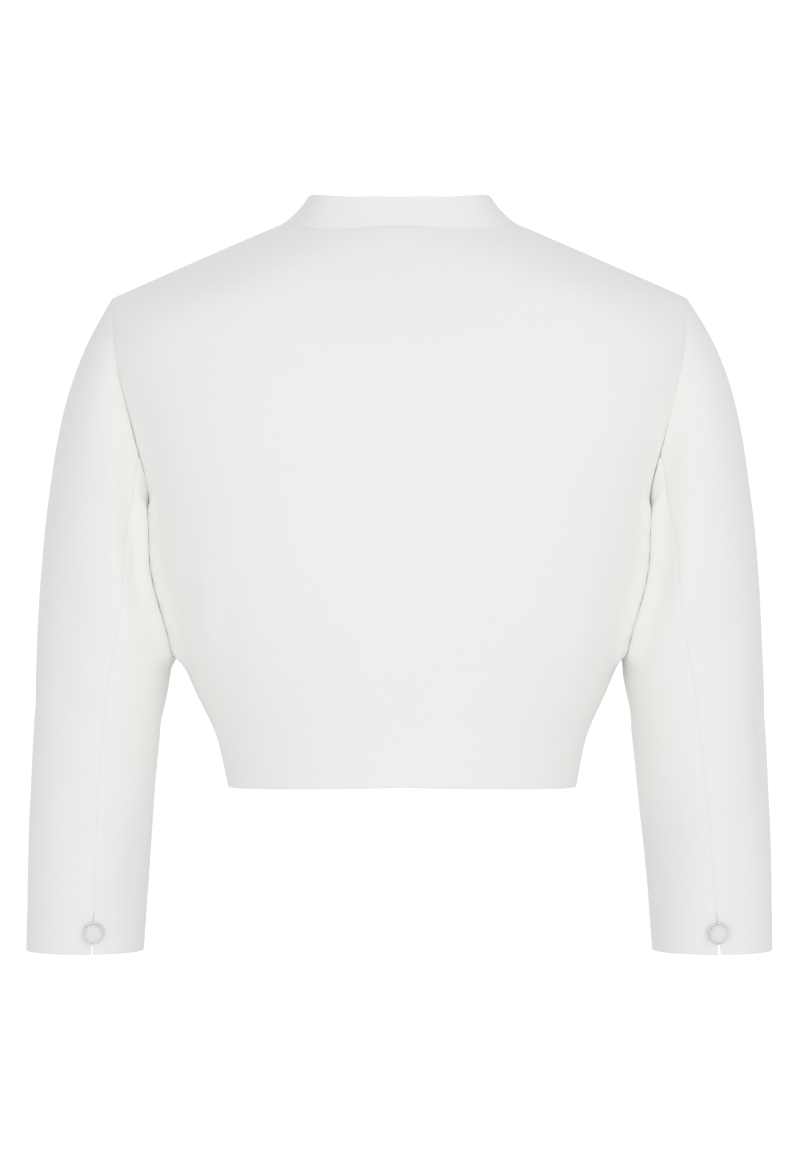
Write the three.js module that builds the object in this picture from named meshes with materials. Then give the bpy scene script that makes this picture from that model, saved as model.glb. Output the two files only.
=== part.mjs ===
// A cropped bolero jacket with an open front, a low stand collar and three-quarter
// sleeves in two pieces, filled out as if worn. Each piece that is cut and sewn on is
// one mesh. Millimetres, +Z up. The front faces -Y and the left sleeve lies at +X.
// The origin is the middle of the base of the neck.
import * as THREE from "three";

// Cloth and making up
const CLOTH = 1.6; // crepe with its lining
const COLLAR_CLOTH = 2; // two plies and an interlining
const SEAM_GAP = 0.3; // between two pieces that are sewn together
const VENT = { left: 1.2, right: 2.2 }; // how wide each cuff's vent stands open at the hem

// Points that set the size of the body
const NECK_POINT = { x: 82, z: 3 }; // where the shoulder seam meets the collar
const SHOULDER_TIP = { x: 200.5, z: -49 }; // where it meets the sleeve
const FRONT_NECK = { x: 33, z: -62 }; // where the collar ends at the front edge
const NAPE_Z = -3; // the neck seam at the centre back
const UNDERARM_Z = -229; // the top of the side seam
const HEM_Z = -391;
const HEM_RISE = 3; // how much higher the hem is at the centre back
const RIDGE_ROUND = 30; // softens the meeting of the two shoulder lines at the neck
const SHOULDER_RADIUS = 48; // how far below the shoulder line the shoulder rounds over

// The body's level sections, as ovals. Each is halfWidth wide to a side and reaches
// back and front from mid, square fills out its four corners, and sway is how far the
// whole section has swung to the right.
const TORSO = [
  { z: 40, halfWidth: 232, back: 56, front: 42, mid: -8, square: 0.03, sway: 0 },
  { z: 0, halfWidth: 222, back: 69, front: 50, mid: -5, square: 0.03, sway: 0 },
  { z: -50, halfWidth: 211, back: 89, front: 66, mid: -2, square: 0.03, sway: 0 },
  { z: -103, halfWidth: 207, back: 101, front: 88, mid: 0, square: 0.032, sway: 0 },
  { z: -148, halfWidth: 196.5, back: 105, front: 101, mid: 0, square: 0.034, sway: 0 },
  { z: -190, halfWidth: 181, back: 105, front: 111, mid: 0, square: 0.036, sway: 0 },
  { z: -229, halfWidth: 175, back: 103, front: 116, mid: 0, square: 0.036, sway: 0 },
  { z: -260, halfWidth: 167, back: 100, front: 117, mid: 0, square: 0.034, sway: 0.2 },
  { z: -295, halfWidth: 155.5, back: 96, front: 112, mid: 0, square: 0.03, sway: 0.5 },
  { z: -330, halfWidth: 140.7, back: 91, front: 105, mid: 0, square: 0.022, sway: 1 },
  { z: -358, halfWidth: 128.5, back: 87, front: 100, mid: 0, square: 0.015, sway: 1.4 },
  { z: -391, halfWidth: 121.3, back: 84, front: 96, mid: 0, square: 0.01, sway: 1.9 },
];

// The armhole seen from the side: how far it reaches back and front of its middle, and
// how many degrees its widest places lie below the middle.
const ARMHOLE = { back: 49, front: 47, low: 8 };

// The front edge from the hem up to the collar, as seen from the front
const FRONT_EDGE = [
  { along: 0, x: 100, z: -391 },
  { along: 0.05, x: 86, z: -386 },
  { along: 0.13, x: 71, z: -368 },
  { along: 0.24, x: 60, z: -333 },
  { along: 0.5, x: 46, z: -240 },
  { along: 0.75, x: 38, z: -150 },
  { along: 1, x: FRONT_NECK.x, z: FRONT_NECK.z },
];

// The collar from the centre back, 0, to its front end, 1. It stands height high and
// leans in from upright by base degrees at the seam and by top degrees at its edge.
const COLLAR = [
  { along: 0, height: 21, base: 16, top: 12 },
  { along: 0.25, height: 25.5, base: 24, top: 17 },
  { along: 0.5, height: 25.5, base: 56, top: 33 },
  { along: 0.7, height: 23, base: 44, top: 30 },
  { along: 0.9, height: 19, base: 34, top: 28 },
  { along: 1, height: 13, base: 32, top: 26 },
];

// The sleeve's outer and inner lines as seen from the front, from the armhole, 0, to
// the hem, 1, and how far each ring reaches back and front from mid. turn is how many
// degrees the ring's places are moved round towards the inner line.
const SLEEVE = [
  { along: 0, outX: 200.5, outZ: -49, inX: 175, inZ: -229, mid: -1, back: 47, front: 46, turn: 0 },
  { along: 0.04, outX: 212.5, outZ: -65, inX: 176, inZ: -236, mid: -1, back: 54, front: 50, turn: 8 },
  { along: 0.1, outX: 224.5, outZ: -88, inX: 175, inZ: -244, mid: -1, back: 58, front: 53, turn: 21 },
  { along: 0.18, outX: 235.3, outZ: -124, inX: 171.5, inZ: -255, mid: -1, back: 60, front: 55, turn: 21 },
  { along: 0.28, outX: 243.2, outZ: -170, inX: 165.5, inZ: -272, mid: -2, back: 60, front: 56, turn: 15 },
  { along: 0.38, outX: 248.6, outZ: -216, inX: 158.6, inZ: -293, mid: -3, back: 59, front: 56, turn: 9 },
  { along: 0.48, outX: 252.5, outZ: -262, inX: 160.5, inZ: -312, mid: -6, back: 57, front: 54, turn: 6 },
  { along: 0.6, outX: 255.5, outZ: -320, inX: 165, inZ: -341, mid: -10, back: 53, front: 51, turn: 3 },
  { along: 0.72, outX: 258.4, outZ: -375, inX: 171.1, inZ: -385, mid: -16, back: 49, front: 48, turn: 3 },
  { along: 0.86, outX: 261.8, outZ: -440, inX: 176, inZ: -443, mid: -24, back: 46, front: 46, turn: 4 },
  { along: 1, outX: 263.6, outZ: -508, inX: 181.2, inZ: -508, mid: -33, back: 44, front: 45, turn: 5 },
];
const ARMHOLE_FIT = 0.22; // the share of the sleeve over which it takes up the armhole

// What sets the right sleeve apart: how far out its outer and inner lines lie from the
// left's, and how many degrees it is turned towards its outer line.
const RIGHT_SLEEVE = [
  { along: 0, out: 0, in: 0, turn: 0 },
  { along: 0.04, out: 2, in: 0, turn: 0 },
  { along: 0.18, out: 1.3, in: 0, turn: -3 },
  { along: 0.38, out: 0.5, in: -0.4, turn: -3 },
  { along: 0.48, out: 0.4, in: -4, turn: -4 },
  { along: 0.72, out: 0.3, in: -4.7, turn: -7 },
  { along: 0.86, out: 0, in: -3, turn: -10 },
  { along: 1, out: -0.2, in: -2.2, turn: -14 },
];

// Soft creases on the sleeves. round is in degrees from the outer line towards the
// back, and long and wide are half lengths, as shares of the sleeve and in degrees.
const CREASES = [
  { side: 1, along: 0.2, round: 128, long: 0.1, wide: 16, deep: -4 },
  { side: 1, along: 0.27, round: 104, long: 0.14, wide: 12, deep: 2.2 },
  { side: 1, along: 0.55, round: 60, long: 0.16, wide: 20, deep: -1.6 },
  { side: 1, along: 0.62, round: 200, long: 0.1, wide: 24, deep: -1.6 },
  { side: -1, along: 0.22, round: 124, long: 0.1, wide: 15, deep: -3.6 },
  { side: -1, along: 0.3, round: 102, long: 0.13, wide: 12, deep: 2 },
  { side: -1, along: 0.66, round: 24, long: 0.13, wide: 14, deep: -2.6 },
  { side: -1, along: 0.58, round: 200, long: 0.1, wide: 22, deep: -1.6 },
];

// Buttons covered in the cloth, each with a corded loop. The loop sweeps round the
// button's shank, from the side towards the body, and is tilted up by tilt degrees.
const BUTTON = { radius: 6.6, rim: 1.2, dome: 3.2, shank: 2.5, shankRadius: 2.6, aboveHem: 16 };
const LOOP = { radius: 6.9, cord: 0.9, sweep: 230, tilt: 30 };

// How finely the pieces are divided
const AROUND = 30; // places round the armhole and round the sleeve
const SLEEVE_ROWS = 19;
const ELBOW_SEAM = 8; // its place round the sleeve, counted from the outer line
const FOREARM_SEAM = 21;
const SIDE_ROWS = 8;
const FRONT_CORNER = 0.2; // how far up the front edge the panel's lower corner lies
const SHOULDER_COLUMNS = 7;
const NECK_COLUMNS = 9;
const COLLAR_ROWS = 3;
const SMOOTHING = 300; // passes over a panel's grid

const QUARTER = Math.PI / 2;
const radians = THREE.MathUtils.degToRad;
const { lerp, clamp } = THREE.MathUtils;
const vector = (x, y, z) => new THREE.Vector3(x, y, z);
const steps = (count) => Array.from({ length: count + 1 }, (_, i) => i / count);

/** A smooth curve through one column of a table, which never overshoots its rows. */
function curveThrough(table, along, column) {
  const rows = [...table].sort((a, b) => a[along] - b[along]);
  const at = rows.map((row) => row[along]);
  const value = rows.map((row) => row[column]);
  const rise = value.slice(1).map((v, i) => (v - value[i]) / (at[i + 1] - at[i]));
  const slope = value.map((_, i) => {
    if (i === 0 || i === rise.length) return rise[Math.min(i, rise.length - 1)];
    return rise[i - 1] * rise[i] <= 0 ? 0 : 2 / (1 / rise[i - 1] + 1 / rise[i]);
  });
  return (where) => {
    const x = clamp(where, at[0], at.at(-1));
    const i = Math.min(at.filter((a) => a <= x).length, rise.length) - 1;
    const step = at[i + 1] - at[i];
    const t = (x - at[i]) / step;
    const bulge = (slope[i] - rise[i]) * (1 - t) - (slope[i + 1] - rise[i]) * t;
    return lerp(value[i], value[i + 1], t) + step * t * (1 - t) * bulge;
  };
}

/** All the columns of a table as curves, under their own names. */
function curves(table, along) {
  const columns = Object.keys(table[0]).filter((column) => column !== along);
  return Object.fromEntries(columns.map((c) => [c, curveThrough(table, along, c)]));
}

/** The place between low and high where a falling function reaches zero. */
function fallsToZero(f, low, high) {
  for (let i = 0; i < 36; i += 1) {
    const middle = (low + high) / 2;
    if (f(middle) > 0) low = middle;
    else high = middle;
  }
  return (low + high) / 2;
}

// The body's surface. A place on it is turn, in degrees round from the centre back to
// the centre front, and down, which is 0 on the shoulder line, 1 where the shoulder
// has rounded over, and goes on at the same pace to the hem.
const torso = curves(TORSO, "z");
const across = (turn, square) => (Math.sin(turn) + square * Math.sin(3 * turn)) / (1 - square);
const behind = (turn, square) => (Math.cos(turn) - square * Math.cos(3 * turn)) / (1 - square);
const softened = (x) => Math.hypot(x, RIDGE_ROUND);
const SHOULDER_SLOPE =
  (NECK_POINT.z - SHOULDER_TIP.z) / (softened(SHOULDER_TIP.x) - softened(NECK_POINT.x));

/** The height of the shoulder line at x. */
function ridge(x) {
  return NECK_POINT.z - SHOULDER_SLOPE * (softened(x) - softened(NECK_POINT.x));
}

/** How far below the shoulder line a place lies, and its down again. */
function dropAt(down) {
  if (down > 1) return SHOULDER_RADIUS * (1 + (down - 1) * QUARTER);
  return SHOULDER_RADIUS * (1 - Math.cos(down * QUARTER));
}

function downAt(drop) {
  if (drop > SHOULDER_RADIUS) return 1 + (drop / SHOULDER_RADIUS - 1) / QUARTER;
  return Math.acos(clamp(1 - drop / SHOULDER_RADIUS, -1, 1)) / QUARTER;
}

/** The point of the left half of the body at turn and down, over the ridge if down < 0. */
function bodyPoint(turn, down) {
  if (down < 0) return bodyPoint(180 - turn, -down);
  const angle = radians(turn);
  const xAt = (z) => torso.halfWidth(z) * across(angle, torso.square(z));
  const z = -fallsToZero((low) => dropAt(down) - low - ridge(xAt(-low)), -60, 440);
  const depth = behind(angle, torso.square(z)) * Math.sin(Math.min(down, 1) * QUARTER);
  const reach = depth > 0 ? torso.back(z) : torso.front(z);
  return vector(xAt(z), torso.mid(z) + reach * depth, z);
}

/** The outward normal of the body at turn and down. */
function bodyNormal(turn, down) {
  const round = bodyPoint(turn + 0.5, down).sub(bodyPoint(turn - 0.5, down));
  const fall = bodyPoint(turn, down + 0.01).sub(bodyPoint(turn, down - 0.01));
  const normal = fall.cross(round).normalize();
  const at = bodyPoint(turn, down);
  const outwards = vector(at.x / 2, at.y, 40);
  return normal.dot(outwards) < 0 ? normal.negate() : normal;
}

const bodyX = (turn, z) => torso.halfWidth(z) * across(radians(turn), torso.square(z));

/** The place at turn whose point is at height z. */
function placeAtHeight(turn, z) {
  return { turn, down: downAt(ridge(bodyX(turn, z)) - z) };
}

/** The place on the front or the back whose point is at x and z. */
function placeAt(x, z, onFront) {
  const turn = fallsToZero((t) => x - bodyX(t, z), 0, 90);
  return placeAtHeight(onFront ? 180 - turn : turn, z);
}

/** Places spaced evenly along a line of many places. */
function spread(places, count) {
  const points = places.map((place) => bodyPoint(place.turn, place.down));
  const run = [0];
  points.slice(1).forEach((point, i) => run.push(run[i] + point.distanceTo(points[i])));
  return steps(count).map((share) => {
    const wanted = share * run.at(-1);
    const i = Math.min(run.filter((r) => r <= wanted).length, run.length - 1) - 1;
    const t = (wanted - run[i]) / (run[i + 1] - run[i]);
    return {
      turn: lerp(places[i].turn, places[i + 1].turn, t),
      down: lerp(places[i].down, places[i + 1].down, t),
    };
  });
}

/** The left armhole's places, from the shoulder tip, 0, round the back, for index. */
function armholePlace(index) {
  const onFront = index > AROUND / 2;
  const angle = (index / AROUND) * 2 * Math.PI;
  const swung = angle + radians(ARMHOLE.low) * Math.sin(angle);
  const half = (SHOULDER_TIP.z - UNDERARM_Z) / 2;
  const z = UNDERARM_Z + half * (1 + Math.cos(swung));
  const reach = (onFront ? ARMHOLE.front : ARMHOLE.back) * Math.abs(Math.sin(swung));
  const bodyReach = onFront ? torso.front(z) : torso.back(z);
  const excess = (turn) => {
    const drop = ridge(bodyX(turn, z)) - z;
    if (drop <= 0) return -1;
    const rounded = Math.sin(Math.min(downAt(drop), 1) * QUARTER);
    return bodyReach * behind(radians(turn), torso.square(z)) * rounded - reach;
  };
  const turn = fallsToZero(excess, 0, 90);
  return placeAtHeight(onFront ? 180 - turn : turn, z);
}

const NECK_TURN = placeAt(NECK_POINT.x, NECK_POINT.z, false).turn;
const NAPE = placeAtHeight(0, NAPE_Z);
const THROAT = placeAt(FRONT_NECK.x, FRONT_NECK.z, true);

/** The places of half the neckline, from the shoulder seam to the middle or the front. */
function neckline(onFront) {
  const line = steps(60).map((share) => {
    const angle = share * QUARTER;
    if (!onFront) return { turn: NECK_TURN * Math.cos(angle), down: NAPE.down * Math.sin(angle) };
    return {
      turn: lerp(180 - NECK_TURN, THROAT.turn, 1 - Math.cos(angle)),
      down: THROAT.down * Math.sin(angle),
    };
  });
  return spread(line, NECK_COLUMNS);
}

/** The side seam and then the armhole, from the hem up to the shoulder tip. */
function outerEdge(onFront) {
  const side = steps(40).map((share) => placeAtHeight(90, lerp(HEM_Z, UNDERARM_Z, share)));
  const underarm = AROUND / 2;
  const armhole = steps(underarm).map((_, i) => armholePlace(underarm + (onFront ? i : -i)));
  return [...spread(side, SIDE_ROWS), ...armhole.slice(1)];
}

/** The shoulder seam from the tip to the neck, and then the neckline. */
function topEdge(onFront, tip) {
  const neckTurn = onFront ? 180 - NECK_TURN : NECK_TURN;
  const shoulder = steps(20).map((share) => ({ turn: lerp(tip.turn, neckTurn, share), down: 0 }));
  return [...spread(shoulder, SHOULDER_COLUMNS), ...neckline(onFront).slice(1)];
}

/** A patch of places between four edges, each one amid its four neighbours. */
function filledIn(bottom, top, outer, inner) {
  const rows = outer.length - 1;
  const columns = bottom.length - 1;
  const patch = outer.map((place, j) =>
    bottom.map((_, i) => {
      if (j === 0) return { ...bottom[i] };
      if (j === rows) return { ...top[i] };
      const between = (column) => lerp(place[column], inner[j][column], i / columns);
      return { turn: between("turn"), down: between("down") };
    }),
  );
  for (let pass = 0; pass < SMOOTHING; pass += 1) {
    for (let j = 1; j < rows; j += 1) {
      for (let i = 1; i < columns; i += 1) {
        const around = [patch[j - 1][i], patch[j + 1][i], patch[j][i - 1], patch[j][i + 1]];
        patch[j][i].turn = around.reduce((sum, place) => sum + place.turn, 0) / 4;
        patch[j][i].down = around.reduce((sum, place) => sum + place.down, 0) / 4;
      }
    }
  }
  return patch;
}

/** A grid of points with their outward directions, from a patch of places. */
function onBody(places) {
  const point = ({ turn, down }) => ({ at: bodyPoint(turn, down), out: bodyNormal(turn, down) });
  return places.map((row) => row.map(point));
}

/** The left half of the back, from the side to the centre back. */
function backHalf() {
  const outer = outerEdge(false);
  const top = topEdge(false, outer.at(-1));
  const hemPlace = (share) => placeAtHeight(lerp(90, 0, share), HEM_Z + HEM_RISE * share ** 2);
  const hem = steps(40).map(hemPlace);
  const bottom = spread(hem, top.length - 1);
  const rise = outer.map((place) => place.down);
  const inner = rise.map((down) => {
    const share = (rise[0] - down) / rise[0];
    return { turn: 0, down: lerp(bottom.at(-1).down, NAPE.down, share) };
  });
  return onBody(filledIn(bottom, top, outer, inner));
}

/** The left front, from the side to its open edge. */
function frontHalf() {
  const outer = outerEdge(true);
  const top = topEdge(true, outer.at(-1));
  const edge = curves(FRONT_EDGE, "along");
  const edgePlace = (along) => placeAt(edge.x(along), edge.z(along), true);
  const hemEnd = edgePlace(0).turn;
  const hem = steps(20).map((share) => placeAtHeight(lerp(90, hemEnd, share), HEM_Z));
  const rounding = steps(30).slice(1).map((share) => edgePlace(share * FRONT_CORNER));
  const rest = steps(60).map((share) => edgePlace(lerp(FRONT_CORNER, 1, share)));
  const bottom = spread([...hem, ...rounding], top.length - 1);
  return onBody(filledIn(bottom, top, outer, spread(rest, outer.length - 1)));
}

/** The direction in a grid's surface from its edge to its inside, for one edge point. */
function inSurface(point, inside, before, after) {
  const along = after.clone().sub(before).normalize();
  const inwards = inside.clone().sub(point.at);
  inwards.addScaledVector(along, -inwards.dot(along));
  return inwards.addScaledVector(point.out, -inwards.dot(point.out)).normalize();
}

/** A grid whose edges are drawn in where they meet a seam. draw has, for left, right,
 * low and high, a function from a row or column to how far that point is drawn in. */
function drawnIn(grid, draw) {
  const last = grid.length - 1;
  const end = grid[0].length - 1;
  return grid.map((row, j) =>
    row.map((point, i) => {
      const moved = point.at.clone();
      const pull = (amount, inside, before, after) => {
        if (amount) moved.addScaledVector(inSurface(point, inside.at, before.at, after.at), amount);
      };
      const above = grid[Math.min(j + 1, last)][i];
      const below = grid[Math.max(j - 1, 0)][i];
      const leftwards = row[Math.max(i - 1, 0)];
      const rightwards = row[Math.min(i + 1, end)];
      if (i === 0 && draw.left) pull(draw.left(j), row[1], below, above);
      if (i === end && draw.right) pull(draw.right(j), row[end - 1], below, above);
      if (j === 0 && draw.low) pull(draw.low(i), grid[1][i], leftwards, rightwards);
      if (j === last && draw.high) pull(draw.high(i), grid[last - 1][i], leftwards, rightwards);
      return { ...point, at: moved };
    }),
  );
}

/** The way a wall goes in from a point, kept from leaning past a seam towards stop. */
function keptBack(out, stop) {
  const into = out.clone().negate();
  const lean = into.dot(stop);
  if (lean > 0) into.addScaledVector(stop, -lean);
  return into.divideScalar(Math.max(-into.dot(out), 0.4));
}

/** A closed mesh from corner points and triangles, facing outwards. */
function closedMesh(points, triangles) {
  const volume = triangles.reduce((sum, [a, b, c]) => {
    const turned = points[b].clone().cross(points[c]);
    return sum + points[a].dot(turned);
  }, 0);
  const faced = volume < 0 ? triangles.map(([a, b, c]) => [a, c, b]) : triangles;
  const geometry = new THREE.BufferGeometry();
  const numbers = points.flatMap((p) => p.toArray());
  geometry.setAttribute("position", new THREE.Float32BufferAttribute(numbers, 3));
  geometry.setIndex(faced.flat());
  geometry.computeVertexNormals();
  return geometry;
}

/** A wall of cloth behind a grid of points on its outer face. */
function wall(grid, thickness) {
  const rows = grid.length;
  const columns = grid[0].length;
  const flat = grid.flat();
  const into = (p) => p.into ?? p.out.clone().negate();
  const inner = flat.map((p) => p.at.clone().addScaledVector(into(p), thickness));
  const points = [...flat.map((p) => p.at), ...inner];
  const end = columns - 1;
  const top = rows - 1;
  const outside = (j, i) => j * columns + i;
  const inside = (j, i) => rows * columns + outside(j, i);
  const triangles = [];
  const quad = (a, b, c, d) => triangles.push([a, b, c], [a, c, d]);
  for (let j = 0; j + 1 < rows; j += 1) {
    for (let i = 0; i + 1 < columns; i += 1) {
      quad(outside(j, i), outside(j, i + 1), outside(j + 1, i + 1), outside(j + 1, i));
      quad(inside(j, i), inside(j + 1, i), inside(j + 1, i + 1), inside(j, i + 1));
    }
    quad(outside(j, 0), outside(j + 1, 0), inside(j + 1, 0), inside(j, 0));
    quad(outside(j, end), inside(j, end), inside(j + 1, end), outside(j + 1, end));
  }
  for (let i = 0; i + 1 < columns; i += 1) {
    quad(outside(0, i), inside(0, i), inside(0, i + 1), outside(0, i + 1));
    quad(outside(top, i), outside(top, i + 1), inside(top, i + 1), inside(top, i));
  }
  return closedMesh(points, triangles);
}

const flippedX = (v) => v.clone().multiply(vector(-1, 1, 1));
const flippedAll = (point) =>
  Object.fromEntries(Object.entries(point).map(([name, v]) => [name, flippedX(v)]));
const mirrored = (grid) => grid.map((row) => row.map(flippedAll));

/** A left half panel of the body, parted from the sleeve, side, shoulder and collar. */
function bodyPanel(grid) {
  const half = SEAM_GAP / 2;
  const parted = drawnIn(grid, {
    left: (j) => (j <= SIDE_ROWS ? half : 0),
    high: () => half,
  });
  return parted.map((row, j) =>
    row.map((point, i) => {
      if (i > 0 || j < SIDE_ROWS) return point;
      const at = point.at.clone().add(vector(-half, 0, 0));
      return { ...point, at, into: keptBack(point.out, vector(1, 0, 0)) };
    }),
  );
}

const sleeve = curves(SLEEVE, "along");
const rightSleeve = curves(RIGHT_SLEEVE, "along");

/** How far a crease pushes a sleeve out at along and round. */
function creased(side, along, round) {
  return CREASES.filter((crease) => crease.side === side).reduce((sum, crease) => {
    const lengthwise = (along - crease.along) / crease.long;
    const turned = ((((round - crease.round) % 360) + 540) % 360) - 180;
    return sum + crease.deep * Math.exp(-(lengthwise ** 2) - (turned / crease.wide) ** 2);
  }, 0);
}

/** A point of the sleeve's ring at along, without its creases, as if on the left. */
function ringPoint(side, along, round) {
  const apart = side < 0 ? 1 : 0;
  const outer = vector(sleeve.outX(along), sleeve.mid(along), sleeve.outZ(along));
  const inner = vector(sleeve.inX(along), sleeve.mid(along), sleeve.inZ(along));
  outer.x += apart * rightSleeve.out(along);
  inner.x += apart * rightSleeve.in(along);
  const centre = outer.clone().add(inner).divideScalar(2);
  const angle = radians(round);
  const reach = Math.sin(angle) > 0 ? sleeve.back(along) : sleeve.front(along);
  const at = centre.clone().addScaledVector(outer.sub(centre), Math.cos(angle));
  at.y += reach * Math.sin(angle);
  return { centre, at };
}

/** The whole of one sleeve as a closed tube of points, as if on the left. */
function sleeveTube(side) {
  const armhole = steps(AROUND).slice(1).map((_, i) => {
    const place = armholePlace(i);
    return bodyPoint(place.turn, place.down);
  });
  const rows = steps(SLEEVE_ROWS).map((share) => share ** 1.2);
  const points = rows.map((along) =>
    armhole.map((hole, i) => {
      const even = (i / AROUND) * 360;
      const round = even + sleeve.turn(along) + (side < 0 ? rightSleeve.turn(along) : 0);
      const { centre, at } = ringPoint(side, along, round);
      const t = Math.min(along / ARMHOLE_FIT, 1);
      const fit = (1 - t) ** 2 * (1 + 2 * t);
      const outwards = at.clone().sub(centre).normalize();
      const free = 1 - (1 - Math.min(along / 0.08, 1)) ** 2;
      at.addScaledVector(outwards, creased(side, along, round) * free);
      return at.addScaledVector(hole.clone().sub(ringPoint(side, 0, even).at), fit);
    }),
  );
  return points.map((row, j) =>
    row.map((at, i) => {
      const round = row[(i + 1) % AROUND].clone().sub(row[(i + AROUND - 1) % AROUND]);
      const below = points[Math.min(j + 1, SLEEVE_ROWS)][i];
      const length = below.clone().sub(points[Math.max(j - 1, 0)][i]);
      return { at, out: length.cross(round).normalize() };
    }),
  );
}

/** Part of a sleeve tube between two seams, parted from the body and the other part. */
function sleevePanel(tube, from, to, elbowFirst, ventGap) {
  const places = Array.from({ length: to - from + 1 }, (_, i) => (from + i) % AROUND);
  const grid = tube.map((row) => places.map((place) => row[place]));
  const seam = () => SEAM_GAP / 2;
  const vented = (j) => (j === grid.length - 1 ? ventGap / 2 : SEAM_GAP / 2);
  const elbow = elbowFirst ? "left" : "right";
  const forearm = elbowFirst ? "right" : "left";
  const parted = drawnIn(grid, { [elbow]: vented, [forearm]: seam });
  parted[0] = parted[0].map((point) => ({
    ...point,
    at: point.at.clone().add(vector(SEAM_GAP / 2, 0, 0)),
    into: keptBack(point.out, vector(-1, 0, 0)),
  }));
  return parted;
}

/** The collar's left half, from the front end to the centre back. */
function collarHalf(back, front) {
  const shape = curves(COLLAR, "along");
  const frontNeck = front.at(-1).slice(SHOULDER_COLUMNS);
  const base = [...frontNeck.reverse(), ...back.at(-1).slice(SHOULDER_COLUMNS + 1)];
  const count = base.length - 1;
  const columns = base.map((foot, i) => {
    const next = i === count ? flippedX(base[i - 1].at) : base[i + 1].at;
    const before = i === 0 ? foot.at : base[i - 1].at;
    const along = next.clone().sub(before).normalize();
    const inwards = vector(-foot.at.x, -foot.at.y, 0);
    inwards.addScaledVector(along, -inwards.dot(along)).setZ(0).normalize();
    const share = 1 - i / count;
    const lean = (part) => {
      const tilt = radians(lerp(shape.base(share), shape.top(share), part));
      const way = inwards.clone().multiplyScalar(Math.sin(tilt)).setZ(Math.cos(tilt));
      return way.addScaledVector(along, -way.dot(along)).normalize();
    };
    const at = foot.at.clone().addScaledVector(lean(0), SEAM_GAP / 2);
    const rise = shape.height(share) / COLLAR_ROWS;
    return steps(COLLAR_ROWS).map((part, r) => {
      if (r > 0) at.addScaledVector(lean(part - 0.5 / COLLAR_ROWS), rise);
      const out = along.clone().cross(lean(part));
      if (out.dot(inwards) > 0) out.negate();
      const point = { at: at.clone(), out };
      if (r > 0) return point;
      const upBody = lean(0).addScaledVector(foot.out, -lean(0).dot(foot.out)).normalize();
      return { ...point, into: keptBack(out, upBody.negate()) };
    });
  });
  return steps(COLLAR_ROWS).map((_, r) => columns.map((column) => column[r]));
}

/** A left half grid and its mirror image as one. */
function wholeAcross(grid) {
  return grid.map((row, j) => [...row, ...mirrored(grid)[j].slice(0, -1).reverse()]);
}

/** A grid of the body swung over to the right by the sway of each height. */
function swayed(grid) {
  const swung = (at) => at.clone().sub(vector(torso.sway(at.z), 0, 0));
  return grid.map((row) => row.map((point) => ({ ...point, at: swung(point.at) })));
}

/** A frame on the sleeve's elbow seam at the button: where it is and which way is out. */
function buttonSeat(tube) {
  const [above, hem] = tube.slice(-2).map((row) => row[ELBOW_SEAM]);
  const length = above.at.distanceTo(hem.at);
  const up = above.at.clone().sub(hem.at).normalize();
  const out = hem.out.clone().addScaledVector(up, -hem.out.dot(up)).normalize();
  const at = hem.at.clone().lerp(above.at, BUTTON.aboveHem / length);
  return { at, out, up, sideways: up.clone().cross(out) };
}

/** A point in a seat's frame. */
function seated(seat, sideways, up, out) {
  return seat.at
    .clone()
    .addScaledVector(seat.sideways, sideways)
    .addScaledVector(seat.up, up)
    .addScaledVector(seat.out, out);
}

/** A covered button, turned round its seat's outward direction. */
function button(seat) {
  const { radius, rim, dome, shank, shankRadius } = BUTTON;
  const foot = SEAM_GAP + 0.1;
  const edge = foot + shank;
  const profile = [
    { out: foot, across: shankRadius },
    { out: edge, across: shankRadius },
    { out: edge, across: radius - 0.7 },
    { out: edge + rim / 2, across: radius },
    { out: edge + rim, across: radius - 0.2 },
    ...[0.75, 0.5, 0.25].map((share) => ({
      out: edge + rim + dome * Math.sqrt(1 - share ** 1.6),
      across: radius * share ** 0.8,
    })),
  ];
  const sides = 20;
  const top = edge + rim + dome;
  const points = [seated(seat, 0, 0, foot)];
  profile.forEach(({ out, across: reach }) =>
    steps(sides).slice(1).forEach((share) => {
      const angle = share * 2 * Math.PI;
      points.push(seated(seat, reach * Math.cos(angle), reach * Math.sin(angle), out));
    }),
  );
  points.push(seated(seat, 0, 0, top));
  return closedMesh(points, ringFaces(profile.length, sides, points.length));
}

/** The triangles of rings of points, with a single point before and after them. */
function ringFaces(rings, sides, count) {
  const triangles = [];
  for (let i = 0; i < sides; i += 1) {
    const next = (i + 1) % sides;
    triangles.push([0, 1 + next, 1 + i]);
    for (let r = 0; r + 1 < rings; r += 1) {
      const [a, b] = [1 + r * sides + i, 1 + r * sides + next];
      triangles.push([a, b, b + sides], [a, b + sides, a + sides]);
    }
    const lastRing = 1 + (rings - 1) * sides;
    triangles.push([lastRing + i, lastRing + next, count - 1]);
  }
  return triangles;
}

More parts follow.
